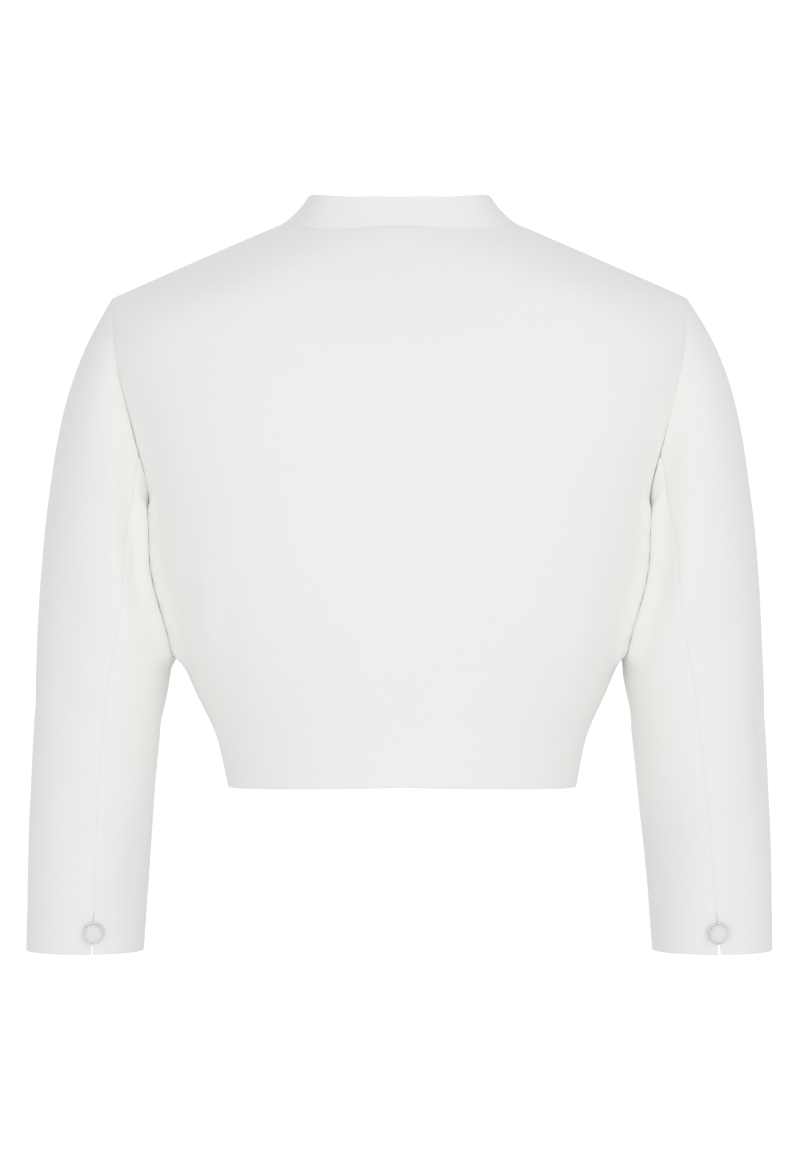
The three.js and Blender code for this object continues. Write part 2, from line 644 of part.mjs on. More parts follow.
/** The corded loop that the button goes through. */
function loop(seat) {
  const sides = 8;
  const out = SEAM_GAP + 0.1 + LOOP.cord + 0.3;
  const arc = steps(18).map((share) => radians(LOOP.tilt + (share - 0.5) * LOOP.sweep));
  const { radius } = LOOP;
  const middle = (angle) => seated(seat, radius * Math.cos(angle), radius * Math.sin(angle), out);
  const points = [middle(arc[0])];
  arc.forEach((angle) => {
    const centre = middle(angle);
    const outwards = centre.clone().sub(seated(seat, 0, 0, out)).normalize();
    steps(sides).slice(1).forEach((share) => {
      const turn = share * 2 * Math.PI;
      const point = centre.clone().addScaledVector(outwards, LOOP.cord * Math.cos(turn));
      points.push(point.addScaledVector(seat.out, LOOP.cord * Math.sin(turn)));
    });
  });
  points.push(middle(arc.at(-1)));
  return closedMesh(points, ringFaces(arc.length, sides, points.length));
}

const jacket = new THREE.Group();
jacket.name = "bolero_jacket";

function add(name, geometry, colour = 0xf1f0ec) {
  const finish = { color: colour, roughness: 0.8, side: THREE.FrontSide };
  const mesh = new THREE.Mesh(geometry, new THREE.MeshStandardMaterial(finish));
  mesh.name = name;
  jacket.add(mesh);
}

const back = backHalf();
const front = frontHalf();
const frontPanel = bodyPanel(front);
add("back", wall(swayed(wholeAcross(bodyPanel(back))), CLOTH));
add("front_left", wall(swayed(frontPanel), CLOTH));
add("front_right", wall(swayed(mirrored(frontPanel)), CLOTH));
add("collar", wall(wholeAcross(collarHalf(back, front)), COLLAR_CLOTH), 0xefeee9);

for (const side of [1, -1]) {
  const hand = side > 0 ? "left" : "right";
  const tube = sleeveTube(side);
  const turned = (grid) => (side > 0 ? grid : mirrored(grid));
  const under = sleevePanel(tube, ELBOW_SEAM, FOREARM_SEAM, true, VENT[hand]);
  const upper = sleevePanel(tube, FOREARM_SEAM, AROUND + ELBOW_SEAM, false, VENT[hand]);
  add(`upper_sleeve_${hand}`, wall(turned(upper), CLOTH));
  add(`under_sleeve_${hand}`, wall(turned(under), CLOTH));
  const seat = side > 0 ? buttonSeat(tube) : flippedAll(buttonSeat(tube));
  add(`button_${hand}`, button(seat), 0xe9e8e3);
  add(`loop_${hand}`, loop(seat), 0xe6e5e0);
}

export default jacket;
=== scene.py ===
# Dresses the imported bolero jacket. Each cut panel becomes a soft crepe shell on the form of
# its solid, with rounded edges, pressed seams and creases. The covered buttons,
# their cord loops and the sewing thread are made here as well. Metres, in the solids' frame.
import logging
import math
from collections import deque
from collections.abc import Iterable
from dataclasses import dataclass, field
from enum import Enum

import bmesh
import bpy
import numpy as np
from bpy.types import ID, Material, Mesh, Node, NodeSocket, NodeTree, Object
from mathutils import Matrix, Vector
from mathutils.bvhtree import BVHTree


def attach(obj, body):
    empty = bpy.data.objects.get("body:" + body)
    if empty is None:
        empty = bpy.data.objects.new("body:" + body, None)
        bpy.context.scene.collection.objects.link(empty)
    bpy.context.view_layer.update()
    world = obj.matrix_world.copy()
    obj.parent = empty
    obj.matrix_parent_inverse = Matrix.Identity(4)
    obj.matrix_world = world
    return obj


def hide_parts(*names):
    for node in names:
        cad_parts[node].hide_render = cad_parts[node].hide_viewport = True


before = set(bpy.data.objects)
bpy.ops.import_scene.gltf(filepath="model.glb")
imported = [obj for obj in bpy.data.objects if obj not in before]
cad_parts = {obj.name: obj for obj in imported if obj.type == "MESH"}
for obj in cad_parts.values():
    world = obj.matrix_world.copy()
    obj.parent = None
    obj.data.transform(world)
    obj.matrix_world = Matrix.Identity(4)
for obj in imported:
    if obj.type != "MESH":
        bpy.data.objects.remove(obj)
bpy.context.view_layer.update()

LOG = logging.getLogger("bolero_jacket")
MM = 0.001

Grid = np.ndarray  # points in rows and columns, or a value for each of them


# Choices with names


class Side(Enum):
    """The four edges of a panel's grid: LOW is its hem, HIGH its top, FIRST and LAST its sides."""

    LOW = "low"
    HIGH = "high"
    FIRST = "first"
    LAST = "last"


class View(Enum):
    """A side that creases are placed from: its axis across, the axis it faces, and which way."""

    BACK = (0, 1, 1)
    FRONT = (0, 1, -1)
    LEFT = (1, 0, 1)
    RIGHT = (1, 0, -1)


class Hold(Enum):
    """How a panel is held: hung or draped."""

    HUNG = "hung"
    DRAPED = "draped"


# Sizes as records


@dataclass(frozen=True)
class Cut:
    """The flat shape a panel is cut to, without seam allowances.

    Args:
        width: across the grain, in metres.
        length: along the grain, in metres.
        area: of the shape itself, in square metres.
    """

    width: float
    length: float
    area: float


@dataclass(frozen=True)
class Edge:
    """How one edge of a panel is finished. Millimetres.

    Args:
        sewn: whether the edge is a seam rather than a folded free edge.
        allowance: how far the pressed seam allowance lifts the cloth beside the seam.
        vent: how much of the edge, from the hem up, stands open.
        turned: how deep the hem is that is turned up behind a free edge.
    """

    sewn: bool = True
    allowance: float = 0.0
    vent: float = 0.0
    turned: float = 0.0


@dataclass(frozen=True)
class Crease:
    """A soft trough in the cloth, or a ridge where its depth is negative.

    Args:
        view: the side it is seen from.
        path: points across and up in that view, in millimetres.
        half_width: how far from the path it has faded, in millimetres.
        depth: at its deepest, in millimetres.
    """

    view: View
    path: tuple[tuple[float, float], ...]
    half_width: float
    depth: float


SEAM = Edge()
PRESSED = Edge(allowance=0.22)
HEM = Edge(sewn=False, turned=27.0)
CUFF_HEM = Edge(sewn=False, turned=30.0)
FREE = Edge(sewn=False)
VENTED = Edge(allowance=0.34, vent=28.0)
SLEEVE_HEAD = Edge(allowance=0.06)

# Millimetres, where a line doesn't say otherwise.
ALLOWANCE_WIDE = 8.0  # how far a seam allowance reaches beside its seam
FOLD_RADIUS = 0.68  # of a folded edge
SEAM_RADIUS = 0.03  # of an edge that goes into a seam
SEAM_DIP = 0.02  # how far the thread draws a seam in
SEAM_PULL = 1.5  # how far from the seam it does
SEAM_REACH = 1.0  # how far apart two edges may lie that are sewn together
SEAM_SPREAD = 2.0  # how far into a panel the closing of its seams is felt
PAINTED_SEAM_SHADE_WIDTH = 1.1  # how wide the shade painted into a seam is
PAINTED_SHADE_MASK = "painted_shade"  # the name of the mask that carries painted shade, in seams and under buttons and loops
VENT_END = 1.5  # how far above and below a vent's top the seam starts
HEM_LIFT = 0.22  # how far a turned-up hem lifts the cloth
HEM_DIP = 0.12  # how far the stitches above it draw the cloth in
STITCH_SUNK = 0.05  # how far those stitches lie below the cloth's face
SWELL = 0.16  # the slow unevenness of cloth that hangs
RIPPLE = 0.05  # the quick one
CORNER_CELLS = 2  # how many cells from an edge its corners are felt
LINES_PER_CELL = 4
FAIRING_PASSES = 3
EDGE_LINES = (0.012, 0.03, 0.06, 0.11, 0.18)  # extra lines near an edge, in cells
FLAT_ANGLES = (40, 35, 30, 25)  # degrees; neighbouring faces of one side of a wall bend less
CONTACT_GAP = 0.05  # what is left between a sleeve and the body's side where they lie together
CONTACT_REACH = (11.0, 18.5)  # narrower gaps than the first are closed, wider than the second kept
CONTACT_WIDER = 4.5  # how much more both are where the cloths press on each other most
CONTACT_PRESSED = (-260.0, -214.0)  # heights between which that begins
CONTACT_TOP = (-200.0, -182.0)  # heights between which the contact ends at the armhole
CONTACT_FOOT = (-309.0, -297.0)  # and at the opening between the sleeve and the body


# Splines


def spline_weights(steps: np.ndarray, at: np.ndarray) -> np.ndarray:
    """Weights of a cubic spline through knots that are numbered from 0.

    Args:
        steps: the distance from each knot to the next, at least three of them.
        at: the places where the spline is read, in knot numbers.

    Returns:
        A matrix with a row for each place and a column for each knot.
    """
    knots = len(steps) + 1
    system = np.zeros((knots, knots))
    values = np.zeros((knots, knots))
    for k, (before, after) in enumerate(zip(steps, steps[1:]), 1):
        system[k, k - 1 : k + 2] = before, 2 * (before + after), after
        values[k, k - 1 : k + 2] = 6 / before, -6 / before - 6 / after, 6 / after
    system[0, :3] = steps[1], -steps[0] - steps[1], steps[0]
    system[-1, -3:] = steps[-1], -steps[-1] - steps[-2], steps[-2]
    bends = np.linalg.solve(system, values)
    cell = np.clip(at.astype(int), 0, knots - 2)
    t = at - cell
    weights = np.zeros((len(at), knots))
    places = np.arange(len(at))
    weights[places, cell] = 1 - t
    weights[places, cell + 1] = t
    size = steps[cell] ** 2 / 6
    start = ((1 - t) ** 3 - (1 - t)) * size
    end = (t**3 - t) * size
    return weights + start[:, None] * bends[cell] + end[:, None] * bends[cell + 1]


def cornered_weights(steps: np.ndarray, at: np.ndarray, corners: tuple[int, ...]) -> np.ndarray:
    """As spline_weights, with the curve free to turn a corner at some knots.

    Args:
        steps: the distance from each knot to the next.
        at: the places where the curve is read.
        corners: the knots at which it may turn.

    Returns:
        A matrix with a row for each place and a column for each knot.
    """
    weights = np.zeros((len(at), len(steps) + 1))
    ends = (0, *corners, len(steps))
    for low, high in zip(ends, ends[1:]):
        inside = (at >= low) & (at <= high)
        weights[inside, low : high + 1] = spline_weights(steps[low:high], at[inside] - low)
    return weights


def chords(points: Grid) -> np.ndarray:
    """The distance from each point to the next."""
    return np.linalg.norm(np.diff(points, axis=0), axis=-1)


def faired(grid: Grid, first: int, last: int) -> Grid:
    """A grid whose rows from first to last are eased towards the line between their neighbours."""
    eased = grid.copy()
    for _ in range(FAIRING_PASSES):
        steps = np.linalg.norm(np.diff(eased, axis=0), axis=2)[..., None]
        before, after = steps[first - 1 : last], steps[first : last + 1]
        low, high = eased[first - 1 : last], eased[first + 1 : last + 2]
        straight = (low * after + high * before) / (before + after)
        eased[first : last + 1] += 0.5 * (straight - eased[first : last + 1])
    return eased


def fine_lines(knots: int) -> np.ndarray:
    """The places of the fine grid's lines, which lie closer together near both edges."""
    last = knots - 1
    even = np.linspace(0, last, last * LINES_PER_CELL + 1)
    close = np.array(EDGE_LINES)
    return np.unique(np.round(np.concatenate([even, close, last - close]), 6))


def smooth_step(low: float, high: float, value: Grid) -> Grid:
    """Rises smoothly from 0 at low to 1 at high."""
    t = np.clip((value - low) / (high - low), 0, 1)
    return t * t * (3 - 2 * t)


def run_along(points: Grid, axis: int) -> Grid:
    """How far each point of a grid lies from the start of its line along an axis."""
    steps = np.linalg.norm(np.diff(points, axis=axis), axis=2)
    start = np.zeros_like(np.take(steps, [0], axis=axis))
    return np.concatenate([start, np.cumsum(steps, axis=axis)], axis=axis)


def unit(vectors: Grid) -> Grid:
    """Vectors at length one."""
    return vectors / np.maximum(np.linalg.norm(vectors, axis=-1, keepdims=True), 1e-12)


# Reading a wall's grid


def smooth_regions(mesh: bmesh.types.BMesh, limit: float) -> list[list[bmesh.types.BMFace]]:
    """Parts of a mesh that no edge sharper than limit crosses, the largest area first."""
    left = set(mesh.faces)
    regions = []
    for first in mesh.faces:
        if first not in left:
            continue
        left.discard(first)
        region = [first]
        for face in region:
            for edge in face.edges:
                if edge.calc_face_angle(math.pi) > limit:
                    continue
                for other in edge.link_faces:
                    if other in left:
                        left.discard(other)
                        region.append(other)
        regions.append(region)
    return sorted(regions, key=lambda region: -sum(face.calc_area() for face in region))


def lattice(region: list[bmesh.types.BMFace]) -> Grid:
    """The rows and columns of a triangulated grid.

    Two triangles that share an edge are half of one cell or of two neighbours, so the
    far corner of the second is the sum of the shared corners less the first's far corner.

    Args:
        region: the triangles, all split along the same diagonal.

    Returns:
        The grid's points, with its rows rising and its columns as they come.
    """
    inside = set(region)
    start = region[0].verts
    place = {start[0]: (0, 0), start[1]: (1, 0), start[2]: (0, 1)}
    queue = deque([region[0]])
    seen = {region[0]}
    while queue:
        face = queue.popleft()
        for edge in face.edges:
            for other in edge.link_faces:
                if other not in inside or other in seen:
                    continue
                seen.add(other)
                queue.append(other)
                near = next(v for v in face.verts if v not in edge.verts)
                far = next(v for v in other.verts if v not in edge.verts)
                a, b = (place[v] for v in edge.verts)
                place.setdefault(far, tuple(a[k] + b[k] - place[near][k] for k in (0, 1)))
    points = np.array([v.co for v in place])
    u, v = np.array(list(place.values())).T
    for rows, columns in ((u, v), (u + v, u), (u + v, -v)):
        rows = rows - rows.min()
        columns = columns - columns.min()
        shape = (rows.max() + 1, columns.max() + 1)
        if shape[0] * shape[1] == len(points):
            grid = np.zeros((*shape, 3))
            grid[rows, columns] = points
            return upright(grid)
    raise ValueError("a wall of the solid isn't one regular grid")


def upright(grid: Grid) -> Grid:
    """A grid turned so that its rows are stacked upwards."""
    rise = [np.abs(np.diff(grid[..., 2], axis=axis)).mean() for axis in (0, 1)]
    if rise[1] > rise[0]:
        grid = grid.transpose(1, 0, 2)
    return grid if grid[-1, :, 2].mean() > grid[0, :, 2].mean() else grid[::-1]


def wall_grids(node: str) -> tuple[Grid, Grid]:
    """The outer and the inner points of a solid's wall.

    Args:
        node: the name of the CAD node.

    Returns:
        Both grids, with matching rows and columns in no settled direction.
    """
    mesh = bmesh.new()
    mesh.from_mesh(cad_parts[node].data)
    bmesh.ops.remove_doubles(mesh, verts=mesh.verts, dist=1e-6)
    for degrees in FLAT_ANGLES:
        sides = smooth_regions(mesh, math.radians(degrees))[:2]
        if len(sides[0]) == len(sides[1]):
            break
    outer, inner = (lattice(side) for side in sides)
    mesh.free()
    if np.linalg.norm(outer[0, 0] - inner[0, 0]) > np.linalg.norm(outer[0, 0] - inner[0, -1]):
        inner = inner[:, ::-1]
    return outer, inner


# The cloth


@dataclass
class Panel:
    """One cut piece of the jacket as a soft shell.

    Args:
        name: of the piece and, with its underscores, of the solid it stands for.
        cut: the flat shape; not used.
        edges: how each of its four edges is finished.
        across: the axis along which its columns fall, and the sign of that direction.
        side_corners: rows at which its FIRST edge turns a corner.
        top_corners: columns at which its HIGH edge turns a corner.
        both_sides: whether the LAST edge turns the same corners as the FIRST.
        fair_rows: the first and the last row that are eased into a smooth run.
        creases: its soft troughs and ridges.
        held: how it hangs; not used.
        hangs_from: the nodes it is sewn to, which carry it; not used.
        facing: 1 where its sides face away from the jacket's middle, and -1 towards it.
    """

    name: str
    cut: Cut
    edges: dict[Side, Edge]
    across: tuple[int, int]
    side_corners: tuple[int, ...] = ()
    top_corners: tuple[int, ...] = ()
    both_sides: bool = False
    fair_rows: tuple[int, ...] = ()
    creases: tuple[Crease, ...] = ()
    held: Hold = Hold.HUNG
    hangs_from: tuple[str, ...] = ()
    facing: int = 1
    points: Grid = field(init=False)
    normals: Grid = field(init=False)
    walls: Grid = field(init=False)
    runs: dict[Side, Grid] = field(init=False)
    contact: Grid = field(init=False)
    row_lines: np.ndarray = field(init=False)
    column_lines: np.ndarray = field(init=False)

    def prepare(self) -> None:
        """Reads the panel's smooth surface from its solid."""
        self.read_solid()
        self.measure()

    def build(self, material: Material, beside: "BVHTree | None" = None) -> None:
        """Makes the panel's shell and hands it to the frame.

        Args:
            material: the cloth's finish.
            beside: the cloth that it lies against below the armholes.
        """
        if beside is not None:
            self.lie_against(beside)
            self.measure()
        self.lift()
        piece = self.shell()
        hand_over(piece, material, self.name)

    def read_solid(self) -> None:
        """Takes the solid's outer face as a fine, smooth grid, and its wall at each point."""
        outer, inner = wall_grids(self.name)
        axis, sign = self.across
        if sign * (outer[:, 0, axis].mean() - outer[:, -1, axis].mean()) < 0:
            outer, inner = outer[:, ::-1], inner[:, ::-1]
        if self.fair_rows:
            outer, inner = faired(outer, *self.fair_rows), faired(inner, *self.fair_rows)
        self.row_lines = fine_lines(outer.shape[0])
        self.column_lines = fine_lines(outer.shape[1])
        self.points = self.refined(outer, outer)
        self.walls = self.refined(inner, outer) - self.points
        self.contact = np.zeros(self.points.shape[:2])

    def refined(self, coarse: Grid, measured: Grid) -> Grid:
        """A fine grid through a coarse one, with true corners in its edges.

        Args:
            coarse: the grid to refine.
            measured: the grid whose spacing the splines follow.

        Returns:
            The fine grid.
        """
        runs = [chords(column) for column in measured.transpose(1, 0, 2)]
        down = np.stack([spline_weights(run, self.row_lines) for run in runs])
        steps = np.mean([chords(row) for row in measured], axis=0)
        along = spline_weights(steps, self.column_lines)
        fine = np.einsum("bra,abk,cb->rck", down, coarse, along)
        fade = np.clip(1 - self.column_lines / CORNER_CELLS, 0, 1) ** 2
        for side, run, near in ((0, runs[0], fade), (-1, runs[-1], fade[::-1])):
            if side == 0 or self.both_sides:
                turn = cornered_weights(run, self.row_lines, self.side_corners) - down[side]
                fine += np.einsum("rk,c->rck", turn @ coarse[:, side], near)
        top_turn = cornered_weights(steps, self.column_lines, self.top_corners) - along
        fade = np.clip(1 - (len(coarse) - 1 - self.row_lines) / CORNER_CELLS, 0, 1) ** 2
        return fine + np.einsum("ck,r->rck", top_turn @ coarse[-1], fade)

    def measure(self) -> None:
        """Finds every point's outward direction and its distance to each edge."""
        down = np.gradient(self.points, self.row_lines, axis=0)
        along = np.gradient(self.points, self.column_lines, axis=1)
        self.normals = unit(np.cross(along, down))
        if (self.normals * self.walls).sum() > 0:
            self.normals = -self.normals
        up, over = run_along(self.points, 0), run_along(self.points, 1)
        self.runs = {
            Side.LOW: up / MM,
            Side.HIGH: (up[-1:] - up) / MM,
            Side.FIRST: over / MM,
            Side.LAST: (over[:, -1:] - over) / MM,
        }

    def edge_lines(self) -> dict[Side, Grid]:
        """The panel's four edges as lines of points."""
        low, high = self.points[0], self.points[-1]
        first, last = self.points[:, 0], self.points[:, -1]
        return {Side.LOW: low, Side.HIGH: high, Side.FIRST: first, Side.LAST: last}

    def close_seams(self, lines: list[Grid]) -> Grid:
        """Works out how the panel moves so that its seams shut.

        Args:
            lines: the edges of all other panels, as they are before any is moved.

        Returns:
            How far each point moves.
        """
        moved = np.zeros_like(self.points)
        weight = np.zeros(self.points.shape[:2])
        for side, line in self.edge_lines().items():
            pull = nearest_on(lines, line) - line
            pull[np.linalg.norm(pull, axis=1) > SEAM_REACH * MM] = 0
            pull = pull[None] if side in (Side.LOW, Side.HIGH) else pull[:, None]
            share = self.sewn(side) * np.clip(1 - self.runs[side] / SEAM_SPREAD, 0, 1)
            moved += share[..., None] * pull / 2
            weight += share
        return moved / np.maximum(weight, 1)[..., None]

    def lie_against(self, beside: BVHTree) -> None:
        """Moves the cloth half-way to the cloth beside it where the gap between them is narrow."""
        height = self.points[..., 2] / MM
        close = smooth_step(*CONTACT_FOOT, height) * (1 - smooth_step(*CONTACT_TOP, height))
        ways = self.facing * np.sign(self.points[..., 0])
        close = close * smooth_step(0.05, 0.35, ways * self.normals[..., 0])
        wider = CONTACT_WIDER * (1 - smooth_step(*CONTACT_PRESSED, height))
        for row, column in np.argwhere(close > 0):
            way = ways[row, column]
            near, far = (reach + wider[row, column] for reach in CONTACT_REACH)
            found = beside.ray_cast(Vector(self.points[row, column]), Vector((way, 0, 0)), far * MM)
            if found[3] is not None:
                gap = found[3] / MM
                share = close[row, column] * (1 - smooth_step(near, far, gap))
                self.points[row, column, 0] += way * share * max(gap - CONTACT_GAP, 0) / 2 * MM
                self.contact[row, column] = share

    def sewn(self, side: Side) -> Grid:
        """How far an edge is a seam rather than free, at each point beside it."""
        edge = self.edges[side]
        if not edge.sewn:
            return np.zeros(self.points.shape[:2])
        if not edge.vent:
            return np.ones(self.points.shape[:2])
        return smooth_step(edge.vent - VENT_END, edge.vent + VENT_END, self.runs[Side.LOW])

    def painted_shade(self) -> Grid:
        """Painted shade: a mask that is 1 in the seams and fades beside them, which darkens the cloth
        there.
        """
        shade = np.zeros(self.points.shape[:2])
        for side, run in self.runs.items():
            shade = np.maximum(shade, self.sewn(side) * np.exp(-((run / PAINTED_SEAM_SHADE_WIDTH) ** 2)))
        return shade

    def lift(self) -> None:
        """Presses, turns up and creases the cloth, by moving its points in or out."""
        rise = undulation(self.points) - creased(self.points, self.normals, self.creases)
        rise *= 1 - self.contact
        for side, run in self.runs.items():
            edge = self.edges[side]
            seam = self.sewn(side)
            rise -= SEAM_DIP * seam * np.exp(-((run / SEAM_PULL) ** 2))
            beyond = smooth_step(ALLOWANCE_WIDE - 2, ALLOWANCE_WIDE + 2, run)
            flap = smooth_step(0.4, 3.6, run) * (1 - beyond)
            rise += edge.allowance * seam * flap
            if edge.turned:
                rise += HEM_LIFT * (1 - smooth_step(edge.turned - 1.2, edge.turned + 1.6, run))
                rise -= HEM_DIP * np.exp(-(((run - edge.turned - 1.2) / 1.6) ** 2))
        self.points = self.points + self.normals * (rise * MM)[..., None]

    def rounding(self) -> Grid:
        """How far the outer face turns in at each point to round the panel's edges."""
        depth = np.zeros(self.points.shape[:2])
        for side, run in self.runs.items():
            seam = self.sewn(side)
            radius = seam * SEAM_RADIUS + (1 - seam) * FOLD_RADIUS
            short = np.clip(radius - run, 0, None)
            depth = np.maximum(depth, radius - np.sqrt(np.clip(radius**2 - short**2, 0, None)))
        return depth * MM

    def shell(self) -> Object:
        """The closed shell between the outer and the inner face, with its map and its mask of painted
        shade in the seams.
        """
        turn = self.rounding()[..., None] * unit(self.walls)
        outer = self.points + turn
        inner = self.points + self.walls - turn
        verts = np.concatenate([outer.reshape(-1, 3), inner.reshape(-1, 3)])
        faces = shell_faces(*outer.shape[:2])
        row, column = outer.shape[0] // 2, outer.shape[1] // 2
        down = outer[row + 1, column] - outer[row, column]
        along = outer[row, column + 1] - outer[row, column]
        if np.dot(np.cross(along, down), self.walls[row, column]) > 0:
            faces = faces[:, ::-1]
        piece = new_piece(self.name + "_cloth", verts, faces.tolist())
        flat = np.stack([self.runs[Side.FIRST], self.runs[Side.LOW]], axis=-1).reshape(-1, 2) * MM
        write_map(piece.data, np.tile(flat, (2, 1)))
        # painted shade in the seams goes into the mask
        write_mask(piece.data, np.tile(self.painted_shade().ravel(), 2))
        return piece

    def line_beside(self, side: Side, distance: float, sunk: float) -> Grid:
        """A line on the cloth at a distance from one of its edges.

        Args:
            side: the edge it follows.
            distance: from that edge, in millimetres.
            sunk: how far below the cloth's outer face it lies, in millimetres.

        Returns:
            The line's points, in order.
        """
        surface = self.points - self.normals * sunk * MM
        run = self.runs[side]
        if side in (Side.FIRST, Side.LAST):
            surface, run = surface.transpose(1, 0, 2), run.T
        if side in (Side.HIGH, Side.LAST):
            surface, run = surface[::-1], run[::-1]
        line = [
            [np.interp(distance, run[:, k], surface[:, k, axis]) for axis in range(3)]
            for k in range(surface.shape[1])
        ]
        return np.array(line)

    def seam_line(self, side: Side) -> Grid:
        """The line along which an edge is sewn."""
        return self.line_beside(side, 0, SEAM_RADIUS)

    def hem_line(self) -> Grid:
        """The line where the turned-up hem is caught down."""
        return self.line_beside(Side.LOW, self.edges[Side.LOW].turned - 1, STITCH_SUNK)


def nearest_on(lines: list[Grid], points: Grid) -> Grid:
    """The nearest place on any of some lines to each point."""
    starts = np.concatenate([line[:-1] for line in lines])
    ways = np.concatenate([np.diff(line, axis=0) for line in lines])
    lengths = np.maximum((ways**2).sum(axis=1), 1e-18)
    found = []
    for point in points:
        t = np.clip(((point - starts) * ways).sum(axis=1) / lengths, 0, 1)
        places = starts + t[:, None] * ways
        found.append(places[((places - point) ** 2).sum(axis=1).argmin()])
    return np.array(found)


def sew_together(panels: list[Panel]) -> None:
    """Moves the edges of panels that are sewn together on to one line between them."""
    moves = []
    for panel in panels:
        others = [other for other in panels if other is not panel]
        lines = [line for other in others for line in other.edge_lines().values()]
        moves.append(panel.close_seams(lines))
    for panel, moved in zip(panels, moves):
        panel.points = panel.points + moved
        panel.measure()


def surface_tree(panels: Iterable[Panel]) -> BVHTree:
    """The outer faces of some panels, ready for rays to be cast at them."""
    verts, faces = [], []
    for panel in panels:
        rows, columns = panel.points.shape[:2]
        quads = shell_faces(rows, columns)[: (rows - 1) * (columns - 1)]
        faces.extend((quads + len(verts)).tolist())
        verts.extend(panel.points.reshape(-1, 3).tolist())
    return BVHTree.FromPolygons(verts, faces)


def shell_faces(rows: int, columns: int) -> np.ndarray:
    """The quads of two facing grids of points and of the strip that joins their edges."""
    index = np.arange(rows * columns).reshape(rows, columns)
    a, b = index[:-1, :-1].ravel(), index[:-1, 1:].ravel()
    c, d = index[1:, 1:].ravel(), index[1:, :-1].ravel()
    inner = rows * columns
    faces = [np.stack([a, b, c, d], 1), np.stack([d, c, b, a], 1) + inner]
    loop = np.concatenate([index[0, :-1], index[:-1, -1], index[-1, :0:-1], index[:0:-1, 0]])
    after = np.roll(loop, -1)
    faces.append(np.stack([after, loop, loop + inner, after + inner], 1))
    return np.concatenate(faces)


def creased(points: Grid, normals: Grid, creases: tuple[Crease, ...]) -> Grid:
    """How deep the creases draw the cloth in at each point.

    Args:
        points: the cloth's points.
        normals: their outward directions.
        creases: what shapes them.

    Returns:
        A depth in millimetres for each point.
    """
    depth = np.zeros(points.shape[:2])
    for crease in creases:
        axis, facing, sign = crease.view.value
        flat = points[..., (axis, 2)] / MM
        seen = smooth_step(0.0, 0.5, sign * normals[..., facing])
        path = np.array(crease.path, float)
        lengths = np.linalg.norm(np.diff(path, axis=0), axis=1)
        starts = np.concatenate([[0], np.cumsum(lengths)])
        nearest = np.full(depth.shape, np.inf)
        along = np.zeros(depth.shape)
        for start, end, length, before in zip(path, path[1:], lengths, starts):
            way = (end - start) / length
            t = np.clip((flat - start) @ way, 0, length)
            distance = np.linalg.norm(flat - start - t[..., None] * way, axis=-1)
            closer = distance < nearest
            nearest = np.where(closer, distance, nearest)
            along = np.where(closer, (before + t) / starts[-1], along)
        fade = smooth_step(0, 0.35, along) * (1 - smooth_step(0.65, 1, along))
        depth += crease.depth * seen * fade * np.exp(-((nearest / crease.half_width) ** 2))
    return depth


def undulation(points: Grid) -> Grid:
    """The slight unevenness of cloth that hangs free, in millimetres."""
    x, y, z = np.moveaxis(points / MM, -1, 0)
    slow = np.sin(x / 23 + z / 41 + 1.3) * np.sin(z / 31 - y / 37 + 0.4)
    quick = np.sin(x / 11 - z / 17 + 2.1) * np.sin(z / 13 + y / 15 + 0.9)
    return SWELL * slow + RIPPLE * quick


# Mesh helpers


def place_object(name: str, data: ID) -> Object:
    """An object for some data, at the origin and in the scene."""
    made = bpy.data.objects.new(name, data)
    bpy.context.scene.collection.objects.link(made)
    return made


def new_piece(name: str, verts: Grid, faces: list) -> Object:
    """A smooth mesh object at the origin.

    Args:
        name: of the object and of its mesh.
        verts: its points.
        faces: for each face the indices of its points.

    Returns:
        The object, already in the scene.
    """
    mesh = bpy.data.meshes.new(name)
    mesh.from_pydata([tuple(v) for v in verts], [], faces)
    mesh.shade_smooth()
    mesh.update()
    return place_object(name, mesh)


def write_map(mesh: Mesh, places: Grid) -> None:
    """Gives a mesh a UV map in metres, from a place for each of its points."""
    layer = mesh.uv_layers.new(name="cloth")
    corners = np.empty(len(mesh.loops), dtype=np.int32)
    mesh.loops.foreach_get("vertex_index", corners)
    layer.data.foreach_set("uv", places[corners].astype(np.float32).ravel())


def write_mask(mesh: Mesh, values: Grid) -> None:
    """Gives a mesh its mask of painted shade, with a value for each of its points."""
    mask = mesh.attributes.new(PAINTED_SHADE_MASK, "FLOAT", "POINT")
    mask.data.foreach_set("value", values.astype(np.float32))


def hand_over(piece: Object, material: Material, node: str) -> None:
    """Finishes a piece and hands it to the frame.

    Args:
        piece: what was made.
        material: its finish.
        node: the solid that it stands for.
    """
    piece.data.materials.append(material)
    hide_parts(node)
    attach(piece, "root")
    LOG.info("%s: %d faces", piece.name, len(piece.data.polygons))


# Finishes


def group_tree(name: str, inputs: dict[str, tuple[str, object]], outputs: dict[str, str]) -> NodeTree:
    """An empty shader node group.

    Args:
        name: of the group.
        inputs: the kind and the first value of each input socket.
        outputs: the kind of each output socket.

    Returns:
        The group, with its input and output nodes named "in" and "out".
    """
    tree = bpy.data.node_groups.new(name, "ShaderNodeTree")
    for socket, (kind, value) in inputs.items():
        made = tree.interface.new_socket(socket, in_out="INPUT", socket_type=kind)
        if value is not None:
            made.default_value = value
    for socket, kind in outputs.items():
        tree.interface.new_socket(socket, in_out="OUTPUT", socket_type=kind)
    tree.nodes.new("NodeGroupInput").name = "in"
    tree.nodes.new("NodeGroupOutput").name = "out"
    return tree


